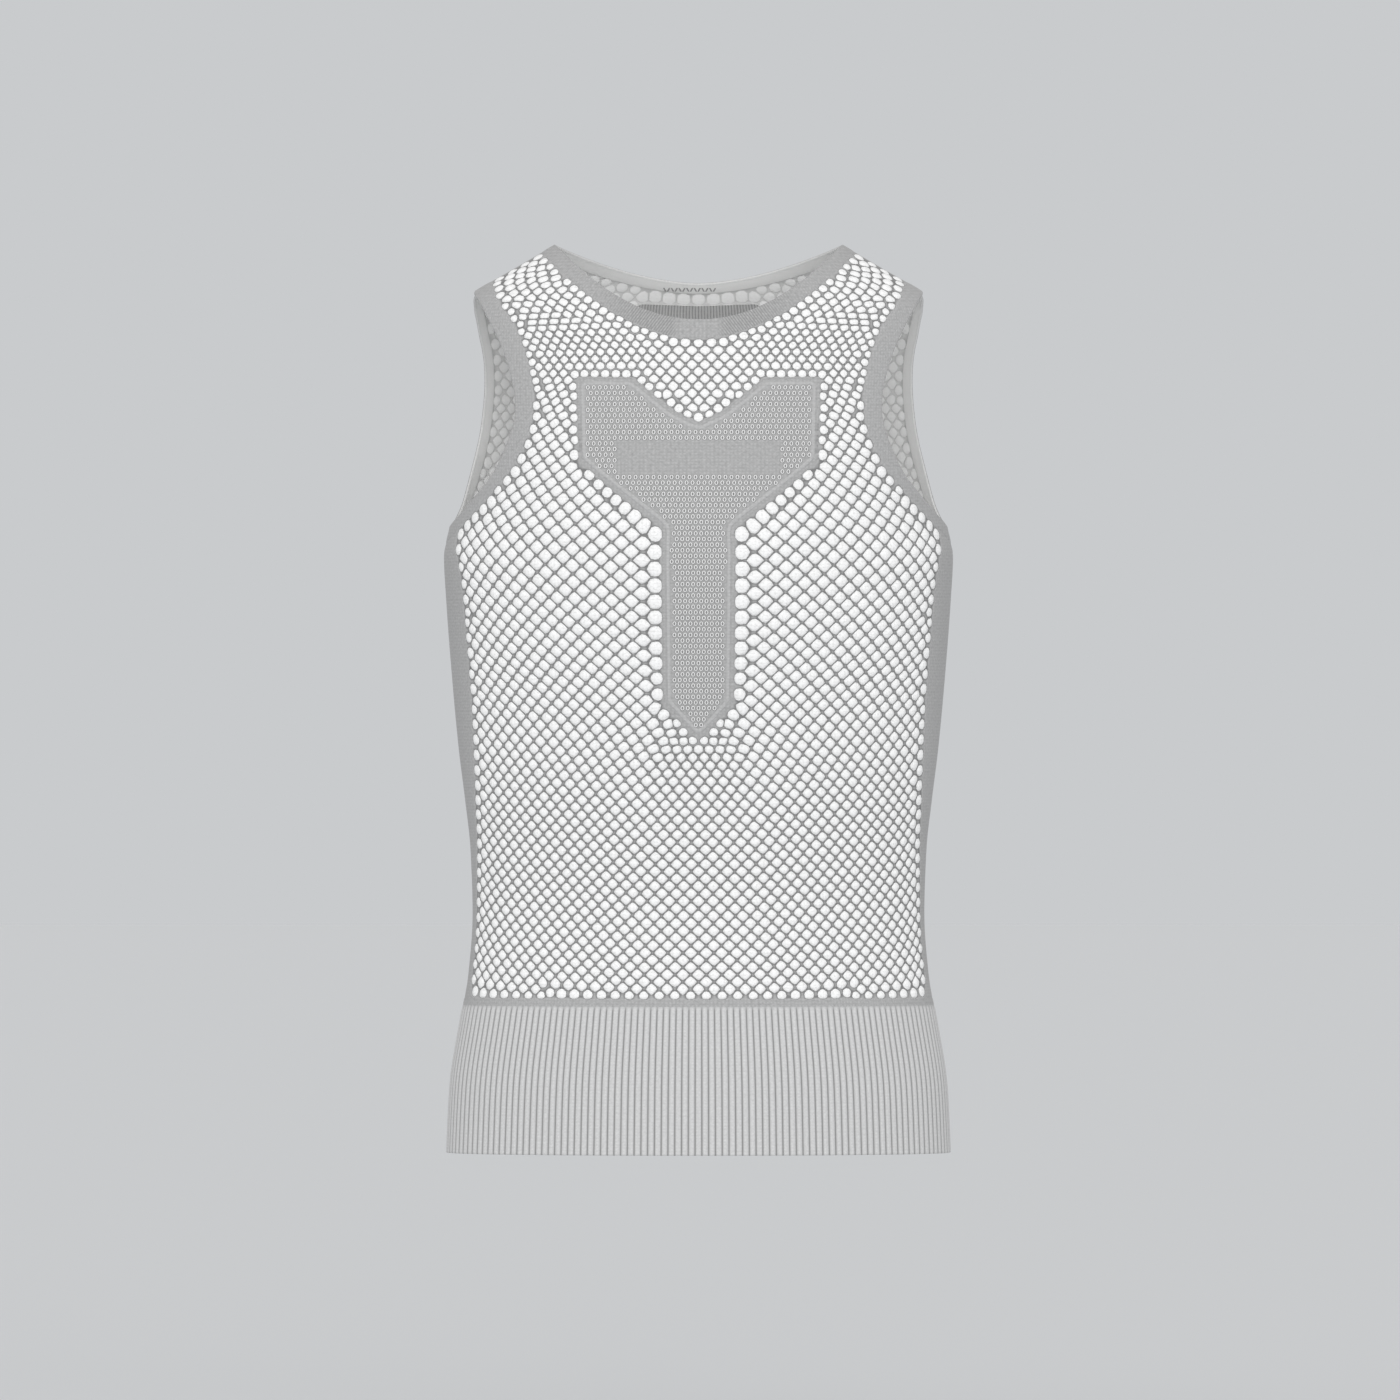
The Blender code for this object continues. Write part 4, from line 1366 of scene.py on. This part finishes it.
@dataclass
class Waistband:
    """The ribbed waistband, with the plain border that joins it to the net."""

    ribs: int = 182                # round the whole band
    steps: int = 8                 # points across a rib
    swing: float = 0.42            # how far the wall weaves out and in, in millimetres
    fullness: float = 0.6          # lower makes the crests broader and the grooves narrower
    wall: float = 1.5
    cut: tuple = (0.877, 0.1075)
    hem_rows: tuple = (0.0, 0.25, 0.8, 1.6)    # rows of points, in millimetres above the hem
    middle_rows: tuple = (6.0, 12)             # the next one's distance from both ends, and their number
    top_rows: tuple = (3.5, 1.8, 0.7, 0.0)     # rows below the border
    hem_edge: tuple = (1.2, 0.25)  # height in which the hem thickens, and its share of the wall at first
    fade: float = 3.5              # millimetres over which the ribs rise from the border
    border_shade: float = 0.55     # between the shade of a groove and that of a crest
    border_overlap: float = 0.6
    border_columns: int = 360
    border_lifts: tuple = (0.78, 0.86, 0.86, 0.8)

    def build(self, rib: bpy.types.Material, plain: bpy.types.Material) -> None:
        """Make the rib and its border."""
        border = self._border(plain)
        inset, count = self.middle_rows
        heights = np.concatenate([LINES.hem + np.array(self.hem_rows),
                                  np.linspace(LINES.hem + inset, LINES.waistband_top - inset, count),
                                  LINES.waistband_top - np.array(self.top_rows)])
        points = ring_points(heights, self.ribs * self.steps)
        level = points[..., 1].ravel()
        rise = np.clip((LINES.waistband_top - level) / self.fade, 0.0, 1.0)
        phase = np.linspace(0.0, math.pi * self.ribs, points.shape[1])
        crest = np.tile(np.abs(np.cos(phase)) ** self.fullness, len(heights))
        weave = self.swing * (2 * crest - 1) * rise
        # painted shade: dark in the rib's grooves and light on its crests, turning to a middle tone at the
        # border
        shade = self.border_shade + (crest - self.border_shade) * rise
        reach, least = self.hem_edge
        low = np.clip((level - LINES.hem) / reach, 0.0, 1.0)
        half = self.wall / 2 * (least + (1 - least) * np.sqrt(1 - (1 - low) ** 2))
        wall = grid_wall("rib_waistband_rib", points, weave + half, weave - half, fullness=shade)
        piece = dress(wall.build(), rib, "rib_waistband")

    def _border(self, plain: bpy.types.Material) -> bpy.types.Object:
        """Make the plain ring between the rib and the net."""
        heights = np.linspace(LINES.waistband_top - self.border_overlap, LINES.border_top,
                              len(self.border_lifts))
        points = ring_points(heights, self.border_columns)
        lifts = np.repeat(self.border_lifts, points.shape[1])
        wall = grid_wall("waist_border_knit", points, lifts, -lifts)
        return dress(wall.build(), plain, "waist_border")


# ---------------------------------------------------------------- panels set into the net
@dataclass
class InsetPanel:
    """A panel set into the middle of a net."""

    corners: tuple = ()            # of its left half, from the centre top round to the centre foot
    spacing: float = 2.0           # millimetres between the points of its outline

    def half_line(self) -> np.ndarray:
        """Follow the left half of the outline, from the centre top round to the centre foot."""
        line = rounded(self.corners)
        return respaced(from_front(line[:, 0], line[:, 1]), self.spacing)


@dataclass
class ChestPanel(InsetPanel):
    """The dense Y-shaped panel on the chest, with eyelets and a raised line along its outline."""

    corners: tuple = (
        # offset, height, corner_radius
        (0.0, 529.3, 0.0), (18.4, 537.9, 2.0), (47.6, 561.6, 4.0), (87.2, 562.3, 3.0),
        (86.0, 502.5, 8.0), (25.4, 454.0, 8.0), (24.7, 327.5, 3.0), (3.4, 304.0, 1.5), (0.0, 302.0, 0.0),
    )
    wall: float = 1.6
    fill_spacing: float = 4.0
    cut: tuple = (0.175, 0.265)
    cut_area: float = 0.0217
    piping_inset: float = 3.9      # millimetres from the outline
    piping_half: float = 1.4       # half its width
    piping_lift: float = 0.45
    piping_profile: tuple = (
        # share of the half width, share of the lift
        (-1.0, 0.0), (-0.75, 0.6), (-0.35, 0.93), (0.0, 1.0), (0.35, 0.93), (0.75, 0.6), (1.0, 0.0),
    )
    sunk: tuple = (0.1, 0.3)       # how deep the foot and the inside of what is sewn on lie in the panel
    eyelet_pitch: tuple = (3.84, 4.3)          # millimetres, on the stem and on the arms
    pitch_heights: tuple = (440.0, 490.0)      # where it changes
    row_pitch: float = 4.05
    first_row: float = 300.0       # height of the lowest row that is tried
    row_count: int = 74
    column_count: int = 26         # eyelets that are tried on each side of the middle
    eyelet_points: int = 8
    # the fullness column places painted shade: dark at the foot of each loop and in its dimple, light on
    # the loop
    eyelet_rings: tuple = (
        # half_width, half_height, lift, fullness
        (1.9, 2.05, 0.02, 0.0), (1.05, 1.45, 0.42, 1.0), (0.42, 0.85, 0.12, 0.1), (0.0, 0.0, -0.12, 0.0),
    )
    eyelet_clear: float = 6.6      # plain edge outside the eyelets
    window: tuple = (59.0, 492.0, 518.5)       # half width, foot and top of the plain field

    def build(self, knit: bpy.types.Material, yarn: bpy.types.Material, ring: bpy.types.Material) -> None:
        """Make the panel, its raised line and its eyelets."""
        outline = mirrored_loop(self.half_line())
        piping = dress(self._piping(outline), yarn, "chest_panel")
        eyelets = dress(self._eyelets(outline), ring, "chest_panel")
        panel = cut_piece("chest_panel_knit", outline, self.wall, self.fill_spacing)
        dress(panel, knit, "chest_panel")

    def _inset(self, loop: np.ndarray, distance: float) -> np.ndarray:
        """Draw a closed loop inward by a real distance."""
        scale = FORM.stretch(loop)
        area = (loop[:, 0] * np.roll(loop[:, 1], -1) - np.roll(loop[:, 0], -1) * loop[:, 1]).sum()
        inward = crosswise(loop) * (-1.0 if area > 0 else 1.0)
        moved = loop + inward * distance / scale
        # where the outline turns tightly, points that came too near it again are left out
        return moved[distances(moved, [loop], scale) > distance * 0.97]

    def _piping(self, outline: np.ndarray) -> bpy.types.Object:
        """Raise a rounded line a little way inside the outline."""
        middle = respaced_loop(self._inset(outline, self.piping_inset), self.spacing)
        for _ in range(2):
            middle = (np.roll(middle, 1, axis=0) + 2 * middle + np.roll(middle, -1, axis=0)) / 4
        across = crosswise(middle) / FORM.stretch(middle)
        points = np.stack([middle + across * self.piping_half * place for place, _ in self.piping_profile])
        points = np.concatenate([points, points[:, :1]], axis=1)
        foot, inside = (self.wall / 2 - depth for depth in self.sunk)
        lifts = np.repeat([foot + self.piping_lift * rise for _, rise in self.piping_profile],
                          points.shape[1])
        return grid_wall("chest_piping", points, lifts, np.full(len(lifts), inside)).build()

    def _eyelets(self, outline: np.ndarray) -> bpy.types.Object:
        """Set rows of small oval eyelets, each a raised loop of yarn round a dimple."""
        centres = self._eyelet_centres(outline)
        scale = FORM.stretch(centres)
        surface = self.wall / 2
        points, lifts, full = [], [], []
        for half_width, half_height, lift, fullness in self.eyelet_rings:
            ring = circle(self.eyelet_points if half_width else 1) * (half_width, half_height)
            points.append(centres[:, None] + ring[None] / scale[:, None])
            lifts += [surface + lift] * len(ring)
            full += [fullness] * len(ring)
        points = np.concatenate(points, axis=1)
        count, size = points.shape[:2]
        faces = repeated(dome_faces(len(self.eyelet_rings) - 1, self.eyelet_points), size, count)
        lining = repeated([tuple(range(self.eyelet_points))], size, count)
        outer = np.tile(lifts, count)
        inner = np.full(len(outer), surface - self.sunk[1])
        return ClothWall("chest_eyelets", points.reshape(-1, 2), faces, outer, inner,
                         fullness=np.tile(full, count), lining=lining).build()

    def _eyelet_centres(self, outline: np.ndarray) -> np.ndarray:
        """List where the eyelets stand, clear of the outline and of the plain field."""
        half, foot, top = self.window
        places = []
        for row in range(self.row_count):
            height = self.first_row + row * self.row_pitch
            pitch = np.interp(height, self.pitch_heights, self.eyelet_pitch)
            for column in range(-self.column_count, self.column_count + 1):
                offset = (column + row % 2 / 2) * pitch
                if not (abs(offset) < half and foot < height < top):
                    places.append((offset, height))
        places = np.array(places)
        centres = from_front(np.abs(places[:, 0]), places[:, 1])
        centres[:, 0] *= np.sign(places[:, 0])
        clear = distances(centres, [outline], FORM.stretch(centres)) > self.eyelet_clear
        return centres[within(centres, [outline]) & clear]


@dataclass
class NapePanel(InsetPanel):
    """The finely ribbed patch below the back of the neck."""

    corners: tuple = (
        # offset, height, corner_radius
        (0.0, 618.0, 0.0), (46.0, 619.5, 6.0), (46.0, 572.0, 10.0), (0.0, 572.0, 0.0),
    )
    rib_pitch: float = 2.2         # millimetres
    steps: int = 6                 # points across a rib
    rows: int = 13                 # points from the foot to the top
    least_height: float = 0.5      # of the patch at its sides, in millimetres
    relief: float = 0.3
    paleness: tuple = (0.6, 0.4)   # of its inside: the middle tone, and how far the painted shade of the ribs swings from it
    wall: float = 1.4
    cut: tuple = (0.093, 0.051)

    def build(self, material: bpy.types.Material) -> None:
        """Make the patch with its ribs."""
        half = self.half_line()
        widest = half[:, 0].max()
        turn = int(half[:, 0].argmax())
        count = int(round(2 * self.corners[1][0] / self.rib_pitch)) * self.steps
        angles = np.linspace(-widest, widest, count + 1)
        upper, lower = half[:turn + 1], half[turn:][::-1]
        tops = np.interp(np.abs(angles), upper[:, 0], upper[:, 1])
        feet = np.interp(np.abs(angles), lower[:, 0], lower[:, 1])
        shares = np.linspace(0.0, 1.0, self.rows)[:, None]
        heights = feet[None] * (1 - shares) + np.maximum(tops, feet + self.least_height)[None] * shares
        points = np.stack([np.broadcast_to(angles, heights.shape), heights], axis=2)
        wave = np.tile(np.cos(np.linspace(0.0, count / self.steps * math.tau, count + 1)), self.rows)
        lifts = self.relief * wave
        tone, swing = self.paleness
        # painted shade: the inside is darker where its ribs dip away from it and paler where they stand
        # towards it
        wall = grid_wall("nape_panel_rib", points, lifts + self.wall / 2, lifts - self.wall / 2,
                         side=Side.BACK, paleness=tone - swing * wave)
        piece = dress(wall.build(), material, "nape_panel")


# ---------------------------------------------------------------- floor, light and camera
@dataclass
class Studio:
    """A plain pale floor, soft light and a camera far in front of the garment."""

    floor_height: float = -0.9
    floor_size: float = 60.0
    backdrop: str = "#C9CBCD"
    floor_tone: str = "#E0E2E4"    # in this light it looks like the backdrop
    ambience: float = 0.593        # strength of the even light from all round
    suns: tuple = (
        # name, degrees to the left, degrees up, strength as a share of full light, degrees across
        ("key", 12.0, 34.0, 0.275, 36.0), ("fill", -10.0, 9.0, 0.235, 30.0),
    )
    distance: float = 12.0
    eye: tuple = (0.0011, -0.33)   # sideways and height
    frame_width: float = 1.0164    # metres across the picture at the garment
    sensor: float = 36.0           # millimetres
    sight: float = 200.0           # metres that the camera sees

    def build(self) -> None:
        """Set the floor, the lamps, the world and the camera."""
        bpy.ops.object.select_all(action="DESELECT")
        bpy.ops.mesh.primitive_plane_add(size=self.floor_size, location=(0.0, 0.0, self.floor_height))
        floor = bpy.context.active_object
        floor.name = "floor"
        material = bpy.data.materials.new("matt_paper_floor")
        material.use_nodes = True
        shader = material.node_tree.nodes["Principled BSDF"]
        shader.inputs["Base Color"].default_value = srgb(self.floor_tone)
        shader.inputs["Roughness"].default_value = 0.95
        shader.inputs["Specular IOR Level"].default_value = 0.1
        floor.data.materials.append(material)
        self._world()
        for sun in self.suns:
            self._sun(*sun)
        camera = bpy.data.objects.new("camera", bpy.data.cameras.new("camera"))
        bpy.context.scene.collection.objects.link(camera)
        camera.location = (self.eye[0], -self.distance, self.eye[1])
        camera.rotation_euler = (math.radians(90.0), 0.0, 0.0)
        camera.data.sensor_width = self.sensor
        camera.data.lens = self.sensor * self.distance / self.frame_width
        camera.data.clip_end = self.sight
        bpy.context.scene.camera = camera
        bpy.context.scene.view_settings.view_transform = "Standard"

    def _world(self) -> None:
        """Light the garment evenly, and show the camera a plain pale tone."""
        world = bpy.data.worlds.new("studio")
        bpy.context.scene.world = world
        world.use_nodes = True
        tree = world.node_tree
        tree.nodes.clear()
        path = add_node(tree, "LightPath")
        soft = add_node(tree, "Background", {"Color": (1.0, 1.0, 1.0, 1.0), "Strength": self.ambience})
        seen = add_node(tree, "Background", {"Color": srgb(self.backdrop), "Strength": 1.0})
        mix = add_node(tree, "MixShader", {0: path.outputs["Is Camera Ray"], 1: soft.outputs[0],
                                           2: seen.outputs[0]})
        output = add_node(tree, "OutputWorld")
        tree.links.new(mix.outputs[0], output.inputs["Surface"])

    @staticmethod
    def _sun(name: str, left: float, up: float, share: float, across: float) -> None:
        """Shine one broad soft light on the front from far away.

        Args:
            name: Name of the lamp.
            left: Degrees to the left of the camera, as the camera sees it.
            up: Degrees above the floor.
            share: Its strength, where 1 shows a colour facing it as written.
            across: How many degrees of the sky it fills.
        """
        lamp = bpy.data.objects.new(name, bpy.data.lights.new(name, "SUN"))
        bpy.context.scene.collection.objects.link(lamp)
        lamp.data.energy = share * math.pi
        lamp.data.angle = math.radians(across)
        turn, rise = math.radians(left), math.radians(up)
        level = math.cos(rise)
        towards = Vector((math.sin(turn) * level, math.cos(turn) * level, -math.sin(rise)))
        lamp.rotation_euler = towards.to_track_quat("-Z", "Y").to_euler()


# ---------------------------------------------------------------- the garment
# Each row of these tables holds a row's number, its height at the centre and at the side, how its rise
# bends between them, half the width inside which its columns are even, the angle of its outer column,
# and how its columns spread from one to the other.
FRONT_ROWS = (
    # row, centre_height, side_height, bend, inner_width, outer_angle, spread
    (-21, 74.0, 84.0, 0.6, 40.0, 77.0, 1.0),
    (-13, 116.2, 128.0, 0.6, 39.6, 77.0, 1.0),
    (-9, 137.0, 151.0, 0.6, 39.0, 77.5, 0.98),
    (-5, 158.0, 173.0, 0.6, 38.0, 76.7, 0.97),
    (-1, 179.5, 195.0, 0.6, 36.9, 75.7, 0.97),
    (3, 201.0, 215.0, 0.6, 36.6, 73.8, 0.97),
    (7, 222.0, 237.0, 0.6, 36.0, 72.0, 0.97),
    (11, 243.5, 257.0, 0.6, 34.4, 70.0, 0.96),
    (15, 265.5, 279.0, 0.6, 32.2, 68.0, 0.95),
    (19, 288.5, 302.0, 0.6, 29.0, 66.8, 0.98),
    (23, 312.0, 325.0, 0.6, 20.5, 67.0, 0.95),
    (27, 333.8, 346.6, 0.6, 16.6, 69.0, 0.92),
    (31, 355.6, 368.2, 0.6, 16.6, 71.5, 0.9),
    (35, 377.4, 389.7, 0.7, 16.6, 74.0, 0.9),
    (39, 399.8, 411.5, 0.7, 16.6, 77.0, 0.91),
    (43, 423.5, 434.5, 0.8, 16.6, 80.5, 0.93),
    (47, 447.7, 457.5, 0.9, 17.0, 82.0, 0.95),
    (51, 471.8, 479.0, 1.0, 20.0, 78.0, 0.97),
    (55, 495.6, 499.5, 1.0, 24.0, 71.0, 1.0),
    (59, 518.8, 519.5, 1.0, 28.0, 63.5, 1.0),
    (63, 540.5, 540.0, 1.0, 30.5, 56.5, 1.0),
    (67, 561.5, 560.5, 1.0, 32.2, 50.5, 1.0),
    (71, 582.0, 579.5, 1.0, 33.2, 49.3, 1.0),
    (75, 601.5, 597.3, 1.0, 35.0, 53.0, 1.0),
    (79, 620.5, 614.5, 1.0, 37.2, 63.0, 1.0),
    (83, 639.5, 631.5, 1.0, 39.5, 80.0, 1.0),
    (87, 658.5, 648.5, 1.0, 41.5, 96.0, 1.0),
)
BACK_ROWS = (
    # row, centre_height, side_height, bend, inner_width, outer_angle, spread
    (-19, 82.0, 90.0, 0.6, 33.0, 77.0, 1.0),
    (-13, 117.4, 125.5, 0.6, 33.0, 77.0, 1.0),
    (-1, 187.5, 200.0, 0.6, 33.0, 75.7, 1.0),
    (9, 249.5, 261.0, 0.6, 33.0, 70.0, 1.0),
    (19, 312.5, 324.0, 0.6, 34.5, 65.8, 1.0),
    (29, 376.0, 387.0, 0.7, 36.0, 66.2, 1.0),
    (37, 427.0, 436.0, 0.8, 37.0, 68.3, 1.0),
    (41, 452.5, 460.0, 1.0, 37.5, 67.5, 1.0),
    (47, 491.0, 496.0, 1.0, 37.5, 65.5, 1.0),
    (55, 542.0, 543.0, 1.0, 37.5, 61.0, 1.0),
    (63, 593.0, 590.0, 1.0, 37.5, 62.0, 1.0),
    (67, 618.5, 613.0, 1.0, 37.5, 68.0, 1.0),
    (71, 644.0, 636.0, 1.0, 37.5, 80.0, 1.0),
    (75, 669.5, 658.0, 1.0, 37.5, 92.0, 1.0),
)


def main() -> None:
    """Build the garment piece by piece, and set it in its studio."""
    logging.basicConfig(level=logging.INFO, format="%(message)s")
    Studio().build()
    # close-knitted polyamide looks matt and even, with its stitches just showing
    plain = KnitFinish("grey_polyamide_jersey", "#C0C0C0", "#8A8A8A", inner=WHITE_YARN).make()
    fanned = FannedFinish("grey_polyamide_jersey_fanned", "#C0C0C0", "#868686", inner=WHITE_YARN).make()
    nape = KnitFinish("dark_grey_fine_rib", "#A2A2A2", "#6E6E6E", inner="#CECECE").make()
    # thread and piping are finer and lie flatter
    thread = KnitFinish("dark_grey_seam_thread", "#B0B0B0", "#8E8E8E", inner="#A2A2A2").make()
    yarn = KnitFinish("light_grey_polyamide_piping", "#C8C8C8", "#9C9C9C", relief=0.05).make()
    # yarn with a raised pattern is pale on top, and painted shade darkens its grooves, where its own shadow
    # would fall
    ring = ReliefFinish("light_grey_polyamide_loops", "#FCFCFC", "#E4E4E4", relief=0.03, painted_groove_shade="#6E6E6E",
                        rim=1.0).make()
    strand = ReliefFinish("grey_net_yarn", "#BEBEBE", "#949494", painted_groove_shade="#828282", rim=0.7,
                          inner="#F0F0EF").make()
    rib = ReliefFinish("pale_grey_rib_knit", "#DCDCDC", "#BCBCBC", relief=0.05, painted_groove_shade="#929292", rim=0.95,
                       inner="#ECECEB").make()
    # the thin polypropylene ground is soft and bright, lets some light through, and has painted shade at
    # the rim of each pillow
    white = ReliefFinish("white_polypropylene_ground", "#FFFFFF", "#D8D8D7", relief=0.1, rim=0.2,
                         inner=WHITE_YARN, span=(0.2, 0.5), through=0.35, sheen=0.06).make()
    chest = ChestPanel()
    patch = NapePanel()
    front_arm = LINES.armhole_part(0, LINES.strip_front)
    back_arm = turned(LINES.armhole_part(LINES.strip_back, len(LINES.armhole_seam))[::-1])
    NetPanel("front", "front_mesh_panel", Side.FRONT, Lattice(Side.FRONT, FRONT_ROWS), chest.half_line(),
             LINES.neck_line("front_seam"), front_arm, (0.368, 0.541), 0.1544).build(strand, white)
    NetPanel("back", "back_mesh_panel", Side.BACK, Lattice(Side.BACK, BACK_ROWS, outer_column=34),
             patch.half_line(), LINES.neck_line("back_seam"), back_arm, (0.403, 0.564),
             0.1891, ring=10).build(strand, white)
    Waistband().build(rib, plain)
    NeckBand().build(fanned, thread)
    ArmholeBands().build(plain)
    SidePanels().build(plain)
    chest.build(plain, yarn, ring)
    patch.build(nape)


if __name__ == "__main__":
    main()
